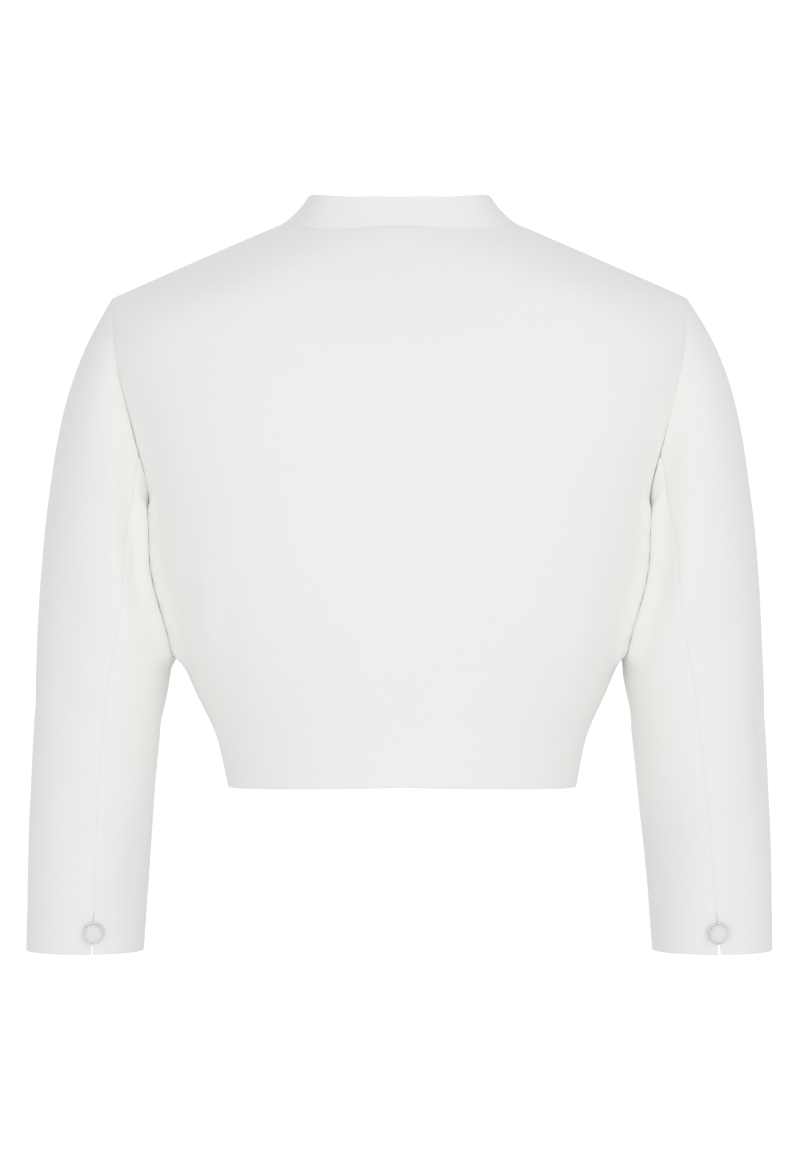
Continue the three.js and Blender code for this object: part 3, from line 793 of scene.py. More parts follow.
def fill(tree: NodeTree, node: Node, inputs: dict[str | int, object]) -> None:
    """Sets inputs of a node to values or links them to sockets.

    Args:
        tree: the node's tree.
        node: whose inputs are filled.
        inputs: a value or another node's socket for each input, by its name or number.
    """
    for name, value in inputs.items():
        if isinstance(value, NodeSocket):
            tree.links.new(value, node.inputs[name])
        else:
            node.inputs[name].default_value = value


def add_node(tree: NodeTree, kind: str, inputs: dict[str | int, object], **settings: object) -> Node:
    """Adds a node.

    Args:
        tree: what it is added to.
        kind: its type.
        inputs: as for fill.
        settings: its own settings, made before its inputs are filled.

    Returns:
        The node.
    """
    node = tree.nodes.new(kind)
    for name, value in settings.items():
        setattr(node, name, value)
    fill(tree, node, inputs)
    return node


def math_node(tree: NodeTree, operation: str, *values: object) -> NodeSocket:
    """Adds a Math node whose inputs are sockets or numbers, and returns its result."""
    return add_node(tree, "ShaderNodeMath", dict(enumerate(values)), operation=operation).outputs[0]


def crepe_group() -> NodeTree:
    """The pebbled surface of crepe: its height and the slight unevenness of its tone."""
    tree = group_tree(
        "crepe_surface",
        {
            "Vector": ("NodeSocketVector", None),
            "Place": ("NodeSocketVector", None),
            "Pebbles": ("NodeSocketFloat", 620.0),
            "Threads": ("NodeSocketFloat", 560.0),
            "Tone Spread": ("NodeSocketFloat", 0.02),
        },
        {"Tone": "NodeSocketFloat", "Height": "NodeSocketFloat"},
    )
    given, result = tree.nodes["in"].outputs, tree.nodes["out"]
    grain = {"Vector": given["Vector"], "Scale": given["Pebbles"], "Detail": 3.0, "Distortion": 0.7}
    pebbles = add_node(tree, "ShaderNodeTexNoise", grain).outputs["Fac"]
    weave = {
        "Vector": given["Vector"],
        "Scale": given["Threads"],
        "Distortion": 1.6,
        "Detail Scale": 1.4,
    }
    bands = []
    for direction in ("X", "Y"):
        band = add_node(tree, "ShaderNodeTexWave", weave, bands_direction=direction)
        bands.append(band.outputs["Fac"])
    relief = math_node(tree, "MULTIPLY", math_node(tree, "MAXIMUM", *bands), 0.35)
    clouds = {"Vector": given["Place"], "Scale": 11.0, "Detail": 2.0}
    drift = add_node(tree, "ShaderNodeTexNoise", clouds).outputs["Fac"]
    shares = []
    for noise in (drift, pebbles):
        centred = math_node(tree, "SUBTRACT", noise, 0.5)
        shares.append(math_node(tree, "MULTIPLY", centred, given["Tone Spread"]))
    tone = math_node(tree, "ADD", math_node(tree, "ADD", *shares), 1.0)
    fill(tree, result, {"Tone": tone, "Height": math_node(tree, "ADD", relief, pebbles)})
    return tree


def shade_painting_group() -> NodeTree:
    """Painted shade: how far cloth is darkened in seams and under buttons and loops, from the piece's
    own mask.
    """
    tree = group_tree(
        "shade_painting",
        {"Mask": ("NodeSocketFloat", 0.0), "Depth": ("NodeSocketFloat", 0.2)},
        {"Tone": "NodeSocketFloat"},
    )
    given, result = tree.nodes["in"].outputs, tree.nodes["out"]
    shade = math_node(tree, "MULTIPLY", given["Mask"], given["Depth"])
    fill(tree, result, {"Tone": math_node(tree, "SUBTRACT", 1.0, shade)})
    return tree


@dataclass(frozen=True)
class ClothFinish:
    """A finish of crepe or of thread.

    Args:
        name: of the material.
        colour: its own colour, linear.
        roughness: of its surface.
        sheen: the weight of the soft light at its edges.
        pebbles: how many pebbles of the crepe fit in a metre, roughly.
        threads: the scale of its threads.
        relief: how high its surface stands, in metres.
        spread: how uneven its tone is.
        shade_paint_depth: how far painted shade darkens the cloth where its mask is full.
    """

    name: str
    colour: tuple[float, float, float]
    roughness: float = 0.78
    sheen: float = 0.12
    pebbles: float = 620.0
    threads: float = 560.0
    relief: float = 0.00012
    spread: float = 0.02
    shade_paint_depth: float = 0.015

    def material(self, surface: NodeTree, seam: NodeTree) -> Material:
        """Builds the material.

        Args:
            surface: the node group of the crepe's surface.
            seam: the node group that paints shade into seams and under buttons and loops.

        Returns:
            The material.
        """
        made = bpy.data.materials.new(self.name)
        made.use_nodes = True
        made.diffuse_color = (*self.colour, 1.0)
        tree = made.node_tree
        place = tree.nodes.new("ShaderNodeTexCoord").outputs
        grain = {
            "Pebbles": self.pebbles,
            "Threads": self.threads,
            "Tone Spread": self.spread,
            "Vector": place["UV"],
            "Place": place["Object"],
        }
        cloth = add_node(tree, "ShaderNodeGroup", grain, node_tree=surface).outputs
        mask = add_node(tree, "ShaderNodeAttribute", {}, attribute_name=PAINTED_SHADE_MASK).outputs["Fac"]
        shaded = {"Depth": self.shade_paint_depth, "Mask": mask}
        shade = add_node(tree, "ShaderNodeGroup", shaded, node_tree=seam).outputs
        # painted shade: the mask darkens the tone in seams and under buttons and loops
        tone = math_node(tree, "MULTIPLY", cloth["Tone"], shade["Tone"])
        tinted = {"Vector": self.colour, "Scale": tone}
        tint = add_node(tree, "ShaderNodeVectorMath", tinted, operation="SCALE")
        raised = {"Strength": 0.5, "Distance": self.relief, "Height": cloth["Height"]}
        bump = add_node(tree, "ShaderNodeBump", raised)
        fill(
            tree,
            tree.nodes["Principled BSDF"],
            {
                "Roughness": self.roughness,
                "Sheen Weight": self.sheen,
                "Sheen Roughness": 0.45,
                "Specular IOR Level": 0.3,
                "Base Color": tint.outputs["Vector"],
                "Normal": bump.outputs["Normal"],
            },
        )
        return made


CREPE = ClothFinish("ivory_crepe", (0.92, 0.92, 0.903))
# the button's cover is darkened strongly by its painted shade
BUTTON_COVER = ClothFinish("button_crepe", (0.84, 0.84, 0.822), relief=0.00009, shade_paint_depth=0.3)
LOOP_CORD = ClothFinish("rouleau_crepe", (0.83, 0.83, 0.812), pebbles=900.0, relief=0.00008)
THREAD = ClothFinish("ivory_thread", (0.86, 0.86, 0.84), 0.6, pebbles=2400.0, threads=1800.0)


# The cuff's closure


@dataclass(frozen=True)
class Seat:
    """Where a button sits on its sleeve, and the directions there.

    Args:
        at: the middle of the shank's foot, in millimetres.
        out: away from the sleeve.
        up: along the sleeve, towards the shoulder.
    """

    at: tuple[float, float, float]
    out: tuple[float, float, float]
    up: tuple[float, float, float]

    def place(self, sideways: Grid, up: Grid, out: Grid) -> Grid:
        """Points in metres from places in the seat's own directions, in millimetres.

        Args:
            sideways: towards the body.
            up: along the sleeve.
            out: away from it.

        Returns:
            The points, one for each place.
        """
        way_out, way_up = unit(np.array(self.out)), unit(np.array(self.up))
        level = np.cross(way_out, way_up)
        inwards = -np.sign(level[0] * self.at[0]) * level
        moved = np.multiply.outer(sideways, inwards) + np.multiply.outer(up, way_up)
        return (np.array(self.at) + moved + np.multiply.outer(out, way_out)) * MM


@dataclass(frozen=True)
class CoveredButton:
    """A round button covered in the cloth, on a short shank. Millimetres.

    Args:
        hand: which sleeve it is on.
        seat: where it sits.
        radius: of the button.
        rim: the height of its rolled edge.
        dome: how far its face rises over the edge.
        shank: the height of the shank under it.
        shank_radius: of the shank.
        sides: how many points each of its rings has.
        pleats: how many folds its cover has underneath.
    """

    hand: str
    seat: Seat
    radius: float = 6.6
    rim: float = 1.2
    dome: float = 3.2
    shank: float = 2.5
    shank_radius: float = 2.6
    sides: int = 64
    pleats: int = 14

    @property
    def face_foot(self) -> float:
        """How far out the button's face starts."""
        return self.shank + self.rim * 0.97

    def profile(self) -> list[tuple[float, float, float]]:
        """How far out and across the button's rings lie, and how far pleats show in each, which also
        sets how much shade is painted on that ring.
        """
        edge = self.shank
        under = [
            (0.0, self.shank_radius, 0.2),
            (edge * 0.5, self.shank_radius * 0.9, 0.3),
            (edge - 0.1, self.shank_radius, 0.3),
            (edge, self.shank_radius + 0.6, 0.9),
            (edge + 0.02, self.radius * 0.7, 1.0),
            (edge + 0.08, self.radius - 0.75, 0.8),
        ]
        rolled = []
        for step in range(7):
            angle = math.radians(-60 + 25 * step)
            out = edge + self.rim / 2 + self.rim / 2 * math.sin(angle)
            across = self.radius - self.rim / 2 + self.rim / 2 * math.cos(angle)
            rolled.append((out, across, 0.45 * (1 - step / 6)))
        face = []
        for step in range(1, 12):
            share = 1 - step / 12
            out = self.face_foot + self.dome * math.sqrt(1 - share**2.2)
            face.append((out, self.radius * share**0.92 * 0.96, 0.12 * share**6))
        return under + rolled + face

    def build(self, material: Material) -> None:
        """Makes the button and hands it to the frame."""
        angles = np.linspace(0, 2 * math.pi, self.sides, endpoint=False)
        rings, masks = [], []
        for out, across, pleat in self.profile():
            fold = 0.16 * pleat * np.cos(self.pleats * angles + 0.4 * np.sin(3 * angles))
            reach = across + fold
            height = np.full_like(angles, out) + 0.25 * fold
            rings.append(self.seat.place(reach * np.cos(angles), reach * np.sin(angles), height))
            # painted shade: the underside, shank and pleats of the button are darkened through its
            # mask; the face is not
            masks.append(np.full(self.sides, min(pleat, 1.0) * 0.8))
        heights = np.array([0.0, self.face_foot + self.dome])
        ends = self.seat.place(np.zeros(2), np.zeros(2), heights)
        verts = np.concatenate([ends[:1], *rings, ends[1:]])
        shade = np.concatenate([[0.8], *masks, [0.0]])
        piece = closed_tube(f"button_{self.hand}_covered", verts, self.sides, verts[:, ::2], shade)
        hand_over(piece, material, f"button_{self.hand}")


@dataclass(frozen=True)
class CordLoop:
    """The corded loop round a button's shank. Millimetres and degrees.

    Args:
        hand: which sleeve it is on.
        seat: where its button sits.
        radius: of the loop, at the middle of its cord.
        cord: the radius of the cord.
        sweep: how far round the shank it goes.
        tilt: how far the middle of that sweep is turned up from sideways.
        out: how far its cord's middle lies from the sleeve.
        steps: how many rings it has.
        sides: how many points each of them has.
    """

    hand: str
    seat: Seat
    radius: float = 6.9
    cord: float = 0.9
    sweep: float = 230.0
    tilt: float = 30.0
    out: float = 1.2
    steps: int = 90
    sides: int = 18

    def angle(self, share: Grid) -> Grid:
        """The angle at each share of the cord's run."""
        return np.radians(self.tilt + (share - 0.5) * self.sweep)

    def build(self, material: Material) -> None:
        """Makes the loop and hands it to the frame."""
        share = np.linspace(0, 1, self.steps)
        ends = np.minimum(share, 1 - share)
        sunk = 0.9 * (1 - smooth_step(0.0, 0.07, ends))
        thick = self.cord * (0.7 + 0.3 * smooth_step(0.0, 0.05, ends))
        thick = thick * (1 + 0.03 * np.sin(34 * share + 1) + 0.02 * np.sin(61 * share))
        turn = np.linspace(0, 2 * math.pi, self.sides, endpoint=False)
        rings = []
        for angle, low, radius in zip(self.angle(share), sunk, thick):
            groove = 1 - 0.12 * np.exp(-(((turn - 4.2 + 0.8 * np.sin(angle * 3)) / 0.28) ** 2))
            reach = self.radius + radius * groove * np.cos(turn)
            height = self.out - low + radius * groove * np.sin(turn)
            rings.append(self.seat.place(reach * math.cos(angle), reach * math.sin(angle), height))
        first, last = (ring.mean(axis=0, keepdims=True) for ring in (rings[0], rings[-1]))
        verts = np.concatenate([first, *rings, last])
        over = np.repeat(share * math.radians(self.sweep) * self.radius * MM, self.sides)
        round_it = np.tile(turn * self.cord * MM, self.steps)
        flat = np.stack([np.pad(over, 1, "edge"), np.pad(round_it, 1)], 1)
        # painted shade: the underside of the cord, towards the sleeve, and its ends are darkened
        # through its mask
        under = np.tile(0.5 * np.clip(-np.sin(turn), 0, 1), self.steps)
        shade = np.concatenate([[0.5], under, [0.5]])
        piece = closed_tube(f"loop_{self.hand}_rouleau", verts, self.sides, flat, shade)
        hand_over(piece, material, f"loop_{self.hand}")

    def anchors(self) -> list[Grid]:
        """Short lines across both ends of the cord, where stitches hold it down."""
        lines = []
        across = np.linspace(-1, 1, 5)
        for share in (0.02, 0.045, 0.955, 0.98):
            angle = self.angle(share)
            reach = self.radius + 1.4 * across
            height = self.out - 0.5 + 0.95 * np.sqrt(np.clip(1 - across**2, 0, 1))
            lines.append(self.seat.place(reach * math.cos(angle), reach * math.sin(angle), height))
        return lines


def closed_tube(name: str, verts: Grid, sides: int, flat: Grid, shade: Grid) -> Object:
    """A closed piece of rings between two tips.

    Args:
        name: of the piece.
        verts: the first tip, the rings one after another, and the last tip.
        sides: how many points each ring has.
        flat: the place of each point in the map.
        shade: the painted-shade mask's value at each point.

    Returns:
        The piece.
    """
    piece = new_piece(name, verts, tube_faces((len(verts) - 2) // sides, sides))
    write_map(piece.data, flat)
    write_mask(piece.data, shade)
    turn_outwards(piece.data)
    return piece


def tube_faces(rings: int, sides: int) -> list[tuple[int, ...]]:
    """The faces of rings of points between a single first point and a single last one."""
    faces = []
    last = 1 + (rings - 1) * sides
    for i in range(sides):
        j = (i + 1) % sides
        faces.append((0, 1 + j, 1 + i))
        faces.append((last + i, last + j, last + sides))
        for ring in range(rings - 1):
            a, b = 1 + ring * sides + i, 1 + ring * sides + j
            faces.append((a, b, b + sides, a + sides))
    return faces


def turn_outwards(mesh: Mesh) -> None:
    """Makes the faces of a closed mesh point outwards."""
    work = bmesh.new()
    work.from_mesh(mesh)
    bmesh.ops.recalc_face_normals(work, faces=work.faces)
    work.to_mesh(mesh)
    work.free()


# Sewing


@dataclass(frozen=True)
class Thread:
    """A run of stitches along lines on the cloth. Millimetres.

    Args:
        name: of the piece.
        spacing: from the middle of one stitch to the next.
        length: of one stitch.
        radius: of the thread.
    """

    name: str
    spacing: float
    length: float
    radius: float = 0.14

    def build(self, lines: list[Grid], tree: NodeTree, material: Material) -> None:
        """Lays the stitches along the lines as one mesh and hands it to the frame.

        Args:
            lines: the points of each line, in order.
            tree: the geometry nodes that make stitches.
            material: of the thread.
        """
        path = self.path(lines)
        sewing = path.modifiers.new("sewing", "NODES")
        sewing.node_group = tree
        values = {
            "Spacing": self.spacing * MM,
            "Length": self.length * MM,
            "Radius": self.radius * MM,
            "Thread": material,
        }
        for item in tree.interface.items_tree:
            if item.in_out == "INPUT" and item.name in values:
                sewing[item.identifier] = values[item.name]
        graph = bpy.context.evaluated_depsgraph_get()
        mesh = bpy.data.meshes.new_from_object(path.evaluated_get(graph))
        bpy.data.objects.remove(path)
        mesh.name = self.name
        piece = place_object(self.name, mesh)
        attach(piece, "root")
        LOG.info("%s: %d faces", self.name, len(mesh.polygons))

    def path(self, lines: list[Grid]) -> Object:
        """A mesh of edges that runs along the lines."""
        verts, edges = [], []
        for line in lines:
            first = len(verts)
            verts.extend(tuple(point) for point in line)
            edges.extend((k, k + 1) for k in range(first, len(verts) - 1))
        mesh = bpy.data.meshes.new(self.name + "_path")
        mesh.from_pydata(verts, edges, [])
        return place_object(self.name + "_path", mesh)


STITCH_LINKS = (
    ("given", "Geometry", "curve", "Mesh"),
    ("curve", "Curve", "points", "Curve"),
    ("given", "Spacing", "points", "Length"),
    ("given", "Radius", "size", "X"),
    ("given", "Radius", "size", "Y"),
    ("given", "Length", "half", 0),
    ("half", "Value", "size", "Z"),
    ("stitch", "Mesh", "slim", "Geometry"),
    ("size", "Vector", "slim", "Scale"),
    ("points", "Points", "lay", "Points"),
    ("points", "Rotation", "lay", "Rotation"),
    ("slim", "Geometry", "lay", "Instance"),
    ("uneven", "Value", "lay", "Scale"),
    ("lay", "Instances", "real", "Geometry"),
    ("real", "Geometry", "smooth", "Geometry"),
    ("smooth", "Geometry", "paint", "Geometry"),
    ("given", "Thread", "paint", "Material"),
    ("paint", "Geometry", "result", "Geometry"),
)


def stitch_tree() -> NodeTree:
    """Geometry nodes that lay a slim, uneven stitch at even steps along curves."""
    tree = bpy.data.node_groups.new("machine_stitches", "GeometryNodeTree")
    tree.interface.new_socket("Geometry", in_out="OUTPUT", socket_type="NodeSocketGeometry")
    tree.interface.new_socket("Geometry", in_out="INPUT", socket_type="NodeSocketGeometry")
    for name in ("Spacing", "Length", "Radius"):
        tree.interface.new_socket(name, in_out="INPUT", socket_type="NodeSocketFloat")
    tree.interface.new_socket("Thread", in_out="INPUT", socket_type="NodeSocketMaterial")
    kinds = {
        "given": "NodeGroupInput",
        "result": "NodeGroupOutput",
        "curve": "GeometryNodeMeshToCurve",
        "points": "GeometryNodeCurveToPoints",
        "stitch": "GeometryNodeMeshUVSphere",
        "size": "ShaderNodeCombineXYZ",
        "slim": "GeometryNodeTransform",
        "uneven": "FunctionNodeRandomValue",
        "lay": "GeometryNodeInstanceOnPoints",
        "real": "GeometryNodeRealizeInstances",
        "smooth": "GeometryNodeSetShadeSmooth",
        "paint": "GeometryNodeSetMaterial",
        "half": "ShaderNodeMath",
    }
    node = {name: tree.nodes.new(kind) for name, kind in kinds.items()}
    node["points"].mode = "LENGTH"
    node["half"].operation = "MULTIPLY"
    fill(tree, node["half"], {1: 0.5})
    fill(tree, node["stitch"], {"Segments": 6, "Rings": 5, "Radius": 1.0})
    chance = {"Min": 0.88, "Max": 1.08, "Seed": 7}
    for socket in node["uneven"].inputs:
        if socket.enabled and socket.name in chance:
            socket.default_value = chance[socket.name]
    for start, out, end, into in STITCH_LINKS:
        source = next(s for s in node[start].outputs if s.name == out and s.enabled)
        tree.links.new(source, node[end].inputs[into])
    return tree


# Sub-assemblies


BODY_CREASES = (
    Crease(View.BACK, ((151, -190), (149, -222), (147, -262), (140, -300)), 8.0, 0.8),
    Crease(View.BACK, ((124, -250), (118, -290), (112, -334)), 9.5, 0.9),
    Crease(View.BACK, ((136, -232), (131, -270), (127, -300)), 7.0, -0.7),
    Crease(View.BACK, ((-148, -196), (-149, -232), (-146, -272), (-138, -310)), 8.0, 0.7),
    Crease(View.BACK, ((-132, -238), (-126, -276), (-117, -318)), 8.0, -0.7),
    Crease(View.BACK, ((-118, -262), (-112, -300), (-104, -340)), 9.0, 0.6),
    Crease(View.BACK, ((86, -332), (86, -356), (84, -384)), 3.2, 0.45),
    Crease(View.BACK, ((-93, -316), (-94, -350), (-92, -384)), 3.2, 0.45),
    Crease(View.BACK, ((182, -118), (173, -150), (165, -182)), 9.0, 0.9),
    Crease(View.BACK, ((-180, -122), (-172, -152), (-163, -186)), 9.0, 0.8),
    Crease(View.BACK, ((150, -38), (118, -32), (92, -26)), 12.0, 0.8),
    Crease(View.BACK, ((-96, -20), (-82, -34), (-66, -44)), 12.0, 0.8),
    Crease(View.FRONT, ((140, -206), (128, -232), (108, -262), (92, -300)), 12.0, 1.8),
    Crease(View.FRONT, ((-142, -208), (-131, -238), (-112, -270), (-98, -312)), 12.0, 1.6),
    Crease(View.FRONT, ((152, -240), (138, -276), (120, -320)), 9.0, -0.9),
    Crease(View.FRONT, ((-150, -246), (-136, -284), (-119, -330)), 9.0, -0.8),
    Crease(View.FRONT, ((150, -110), (128, -136), (104, -158)), 10.0, 1.1),
    Crease(View.FRONT, ((-152, -112), (-126, -140), (-100, -166)), 10.0, 1.0),
    Crease(View.FRONT, ((62, -250), (58, -290), (66, -340)), 10.0, 0.9),
    Crease(View.FRONT, ((-60, -238), (-56, -284), (-63, -330)), 10.0, 0.8),
)


@dataclass
class Body:
    """The back, the two fronts and the collar."""

    back_cut: Cut = Cut(0.446, 0.415, 0.168)
    front_cut: Cut = Cut(0.188, 0.412, 0.063)
    collar_cut: Cut = Cut(0.470, 0.028, 0.01145)
    underarm_row: int = 8
    neck_columns: tuple[int, int] = (7, 25)
    panels: dict[str, Panel] = field(default_factory=dict)

    def prepare(self) -> None:
        """Reads the four panels of the body from their solids."""
        self.panels["back"] = Panel(
            "back",
            self.back_cut,
            {Side.LOW: HEM, Side.HIGH: SEAM, Side.FIRST: PRESSED, Side.LAST: PRESSED},
            across=(0, 1),
            side_corners=(self.underarm_row,),
            top_corners=self.neck_columns,
            both_sides=True,
            creases=BODY_CREASES,
            held=Hold.DRAPED,
            hangs_from=("collar",),
        )
        for hand, sign in (("left", 1), ("right", -1)):
            self.panels[f"front_{hand}"] = Panel(
                f"front_{hand}",
                self.front_cut,
                {Side.LOW: HEM, Side.HIGH: SEAM, Side.FIRST: PRESSED, Side.LAST: FREE},
                across=(0, sign),
                side_corners=(self.underarm_row,),
                top_corners=self.neck_columns[:1],
                creases=BODY_CREASES,
                held=Hold.DRAPED,
                hangs_from=("back",),
            )
        self.panels["collar"] = Panel(
            "collar",
            self.collar_cut,
            {Side.LOW: SEAM, Side.HIGH: FREE, Side.FIRST: FREE, Side.LAST: FREE},
            across=(0, 1),
            held=Hold.DRAPED,
            hangs_from=("back",),
        )
        for panel in self.panels.values():
            panel.prepare()

    def build(self, material: Material, sleeves: BVHTree) -> None:
        """Makes the panels, with the sides of the body against the sleeves."""
        for name, panel in self.panels.items():
            panel.build(material, None if name == "collar" else sleeves)

    def seams(self) -> list[Grid]:
        """The lines along which the body is sewn together."""
        back = self.panels["back"]
        low = back.row_lines <= self.underarm_row
        top = back.seam_line(Side.HIGH)
        first, last = self.neck_columns
        return [
            back.seam_line(Side.FIRST)[low],
            back.seam_line(Side.LAST)[low],
            top[back.column_lines <= first],
            top[back.column_lines >= last],
            self.panels["collar"].seam_line(Side.LOW),
        ]

    def hem_lines(self) -> list[Grid]:
        """The lines where the turned-up hem is caught down."""
        return [self.panels[name].hem_line() for name in ("back", "front_left", "front_right")]


@dataclass
class Sleeve:
    """One sleeve in two pieces, with its button and loop.

    Args:
        hand: left or right.
        seat: where its button sits.
        creases: its soft troughs and ridges.
    """

    hand: str
    seat: Seat
    creases: tuple[Crease, ...]
    upper_cut: Cut = Cut(0.205, 0.478, 0.074)
    under_cut: Cut = Cut(0.137, 0.362, 0.0402)
    panels: dict[str, Panel] = field(default_factory=dict)

    def prepare(self) -> None:
        """Reads the two panels of the sleeve from their solids."""
        edges = {Side.LOW: CUFF_HEM, Side.HIGH: SLEEVE_HEAD, Side.FIRST: PRESSED, Side.LAST: VENTED}
        for part, cut in (("upper", self.upper_cut), ("under", self.under_cut)):
            self.panels[part] = Panel(
                f"{part}_sleeve_{self.hand}",
                cut,
                edges,
                across=(1, -1),
                fair_rows=(12, 18),
                creases=self.creases,
                hangs_from=("back", f"front_{self.hand}"),
                facing=-1,
            )
            self.panels[part].prepare()

    def build(self, finishes: dict[str, Material], body: BVHTree) -> None:
        """Makes the sleeve's panels, its button and its loop.

        Args:
            finishes: the materials, by the name of what they are on.
            body: the cloth of the body, which the sleeve lies against.
        """
        for panel in self.panels.values():
            panel.build(finishes["cloth"], body)
        CoveredButton(self.hand, self.seat).build(finishes["button"])
        self.loop().build(finishes["loop"])

    def loop(self) -> CordLoop:
        """The loop of this sleeve."""
        return CordLoop(self.hand, self.seat)

    def seams(self) -> list[Grid]:
        """The lines along which the sleeve is sewn together and to the body."""
        under = self.panels["under"]
        closed = under.runs[Side.LOW][:, -1] > VENTED.vent
        heads = [panel.seam_line(Side.HIGH) for panel in self.panels.values()]
        return [under.seam_line(Side.LAST)[closed], under.seam_line(Side.FIRST), *heads]

    def hem_lines(self) -> list[Grid]:
        """The lines where the cuff's turned-up hem is caught down."""
        return [panel.hem_line() for panel in self.panels.values()]

    def tacks(self) -> list[Grid]:
        """Short lines that hold the top of the vent and the ends of the loop."""
        under = self.panels["under"]
        height = np.array([VENTED.vent + 0.5, VENTED.vent + 1.2, VENTED.vent + 1.9])
        line = under.line_beside(Side.LAST, 0, 0.1)
        run = under.runs[Side.LOW][:, -1]
        bars = []
        for h in height:
            middle = np.array([np.interp(h, run, line[:, axis]) for axis in range(3)])
            across = np.array([1.4 * MM, 0, 0])
            bars.append(np.array([middle - across, middle, middle + across]))
        return bars + self.loop().anchors()


LEFT_CREASES = (
    Crease(View.BACK, ((192, -150), (187, -176), (186, -206), (190, -236)), 6.5, 1.4),
    Crease(View.BACK, ((196, -90), (194, -116), (190, -140)), 7.0, 0.8),
    Crease(View.BACK, ((200, -140), (197, -172), (198, -208)), 6.0, -0.9),
    Crease(View.BACK, ((240, -300), (226, -330), (206, -352)), 11.0, 0.8),
    Crease(View.BACK, ((246, -352), (232, -378), (212, -396)), 10.0, 0.6),
    Crease(View.BACK, ((176, -396), (183, -440), (188, -500)), 13.0, 2.0),
    Crease(View.FRONT, ((184, -240), (196, -268), (216, -290)), 10.0, 1.4),
    Crease(View.FRONT, ((182, -280), (197, -304), (220, -322)), 10.0, 1.2),
    Crease(View.FRONT, ((186, -320), (204, -340), (226, -350)), 9.0, 0.9),
    Crease(View.FRONT, ((198, -96), (196, -130), (190, -160)), 8.0, 1.0),
    Crease(View.LEFT, ((-30, -310), (-10, -330), (14, -342)), 11.0, 0.7),
    Crease(View.RIGHT, ((-34, -330), (-18, -344), (4, -352)), 10.0, 1.1),
)
RIGHT_CREASES = (
    Crease(View.BACK, ((-190, -140), (-182, -172), (-178, -206), (-176, -240)), 6.5, 1.3),
    Crease(View.BACK, ((-204, -130), (-197, -166), (-193, -204)), 6.5, -0.8),
    Crease(View.BACK, ((-250, -322), (-254, -360), (-255, -404)), 5.5, 1.6),
    Crease(View.BACK, ((-236, -270), (-214, -296), (-190, -312)), 12.0, 0.7),
    Crease(View.BACK, ((-174, -366), (-184, -420), (-190, -506)), 19.0, 3.0),
    Crease(View.FRONT, ((-180, -250), (-196, -276), (-214, -296)), 10.0, 1.3),
    Crease(View.FRONT, ((-180, -296), (-198, -318), (-222, -334)), 10.0, 1.1),
    Crease(View.FRONT, ((-199, -98), (-197, -128), (-192, -156)), 8.0, 0.9),
    Crease(View.RIGHT, ((-32, -322), (-12, -342), (12, -352)), 11.0, 0.7),
    Crease(View.LEFT, ((-30, -318), (-12, -336), (8, -346)), 10.0, 1.0),
)
LEFT_SEAT = Seat((213.735, 13.203, -492.301), (-0.2003, 0.9649, -0.1699), (-0.045, 0.164, 0.985))
RIGHT_SEAT = Seat((-222.033, 13.939, -492.339), (-0.0539, 0.9859, -0.1585), (0.087, 0.163, 0.983))


# Studio


@dataclass(frozen=True)
class Lamp:
    """A soft square light.

    Args:
        name: of the light.
        at: where it stands, in metres.
        power: in watts.
        width: of its side, in metres.
    """

    name: str
    at: tuple[float, float, float]
    power: float
    width: float

    def build(self, target: tuple[float, float, float]) -> None:
        """Adds the light, turned towards a point."""
        light = bpy.data.lights.new(self.name, "AREA")
        light.energy = self.power
        light.size = self.width
        lamp = place_object(self.name, light)
        lamp.location = self.at
        way = np.array(target) - np.array(self.at)
        flat = math.hypot(way[0], way[1])
        lamp.rotation_euler = (math.atan2(flat, -way[2]), 0, math.atan2(-way[0], way[1]))


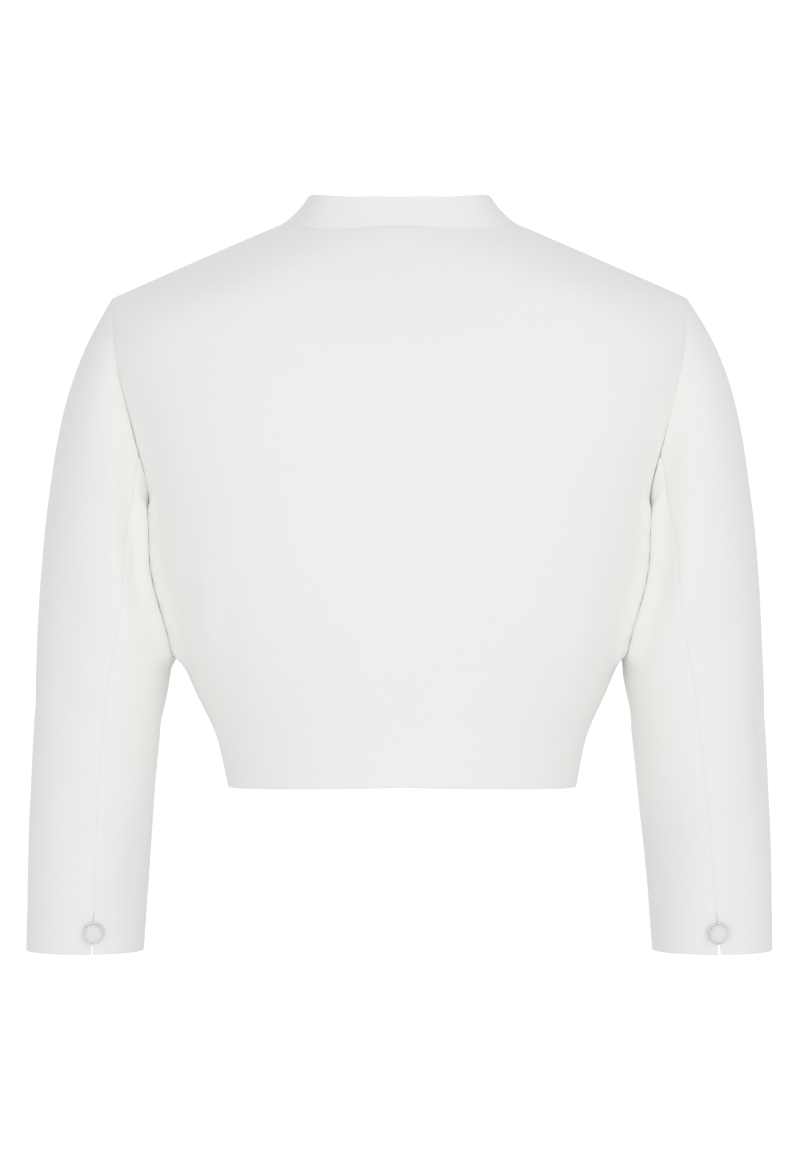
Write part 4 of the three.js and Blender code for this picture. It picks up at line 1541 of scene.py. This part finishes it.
@dataclass
class Studio:
    """The camera, a pale floor and soft light.

    Args:
        eye: where the camera stands, in metres.
        lens: its focal length, in millimetres.
        floor: the height of the floor.
        floor_radius: of the round floor.
        floor_sides: how many points its rim has.
        middle: what the lamps are turned towards.
        sky: the strength of the even light from all round.
        white: the strength of the background that the camera sees.
    """

    eye: tuple[float, float, float] = (-0.00035, 3.2, -0.2429)
    lens: float = 143.1
    floor: float = -1.35
    floor_radius: float = 4.0
    floor_sides: int = 96
    middle: tuple[float, float, float] = (0, 0, -0.24)
    sky: float = 0.685
    white: float = 1.05
    lamps: tuple[Lamp, ...] = (
        Lamp("key_light", (-1.5, 2.4, 0.8), 13.5, 1.6),
        Lamp("fill_light", (1.2, 2.7, -0.5), 11.0, 1.8),
        Lamp("front_light", (0.6, -2.4, 0.8), 10.0, 1.8),
    )

    def camera(self) -> None:
        """Sets up the camera behind the jacket, level and square to it."""
        data = bpy.data.cameras.new("camera")
        data.lens = self.lens
        data.sensor_width = 36.0
        camera = place_object("camera", data)
        camera.location = self.eye
        camera.rotation_euler = (math.pi / 2, 0, math.pi)
        bpy.context.scene.camera = camera

    def ground(self) -> None:
        """Adds the round, pale floor."""
        angles = np.linspace(0, 2 * math.pi, self.floor_sides, endpoint=False)
        flat = [np.cos(angles), np.sin(angles), np.zeros(self.floor_sides)]
        rim = np.stack(flat, 1) * self.floor_radius
        rim[:, 2] = self.floor
        floor = new_piece("studio_floor", rim, [tuple(range(self.floor_sides))])
        pale = bpy.data.materials.new("studio_pale")
        pale.use_nodes = True
        finish = {"Base Color": (0.92, 0.92, 0.92, 1), "Roughness": 0.9}
        fill(pale.node_tree, pale.node_tree.nodes["Principled BSDF"], finish)
        floor.data.materials.append(pale)

    def air(self) -> None:
        """Adds the even light from all round, and the background that the camera sees."""
        world = bpy.data.worlds.new("studio_air")
        world.use_nodes = True
        tree = world.node_tree
        light = tree.nodes["Background"]
        fill(tree, light, {"Strength": self.sky, "Color": (1, 1, 1, 1)})
        clear = {"Strength": self.white, "Color": (1, 1, 1, 1)}
        seen = add_node(tree, "ShaderNodeBackground", clear)
        path = tree.nodes.new("ShaderNodeLightPath")
        ways = {0: path.outputs["Is Camera Ray"], 1: light.outputs[0], 2: seen.outputs[0]}
        mix = add_node(tree, "ShaderNodeMixShader", ways)
        fill(tree, tree.nodes["World Output"], {"Surface": mix.outputs[0]})
        bpy.context.scene.world = world
        bpy.context.scene.view_settings.view_transform = "Standard"

    def build(self) -> None:
        """Adds the floor, the even light and the lamps."""
        self.ground()
        self.air()
        for lamp in self.lamps:
            lamp.build(self.middle)


# Main


def main() -> None:
    """Builds the jacket piece by piece."""
    logging.basicConfig(level=logging.INFO, format="%(name)s: %(message)s")
    studio = Studio()
    studio.camera()
    surface, seam = crepe_group(), shade_painting_group()
    kinds = {"cloth": CREPE, "button": BUTTON_COVER, "loop": LOOP_CORD, "thread": THREAD}
    finishes = {name: finish.material(surface, seam) for name, finish in kinds.items()}
    thread = finishes["thread"]
    body = Body()
    sleeves = [Sleeve("left", LEFT_SEAT, LEFT_CREASES), Sleeve("right", RIGHT_SEAT, RIGHT_CREASES)]
    parts = [body, *sleeves]
    for part in parts:
        part.prepare()
    sew_together([panel for part in parts for panel in part.panels.values()])
    body_cloth = surface_tree(panel for name, panel in body.panels.items() if name != "collar")
    sleeve_cloth = surface_tree(panel for sleeve in sleeves for panel in sleeve.panels.values())
    body.build(finishes["cloth"], sleeve_cloth)
    for sleeve in sleeves:
        sleeve.build(finishes, body_cloth)
    tree = stitch_tree()
    seams = [line for part in parts for line in part.seams()]
    Thread("seam_stitches", 2.6, 2.1).build(seams, tree, thread)
    hems = [line for part in parts for line in part.hem_lines()]
    Thread("hem_stitches", 9.0, 0.7, 0.09).build(hems, tree, thread)
    tacks = [line for sleeve in sleeves for line in sleeve.tacks()]
    Thread("tack_stitches", 0.9, 1.0, 0.16).build(tacks, tree, thread)
    studio.build()


if __name__ == "__main__":
    main()
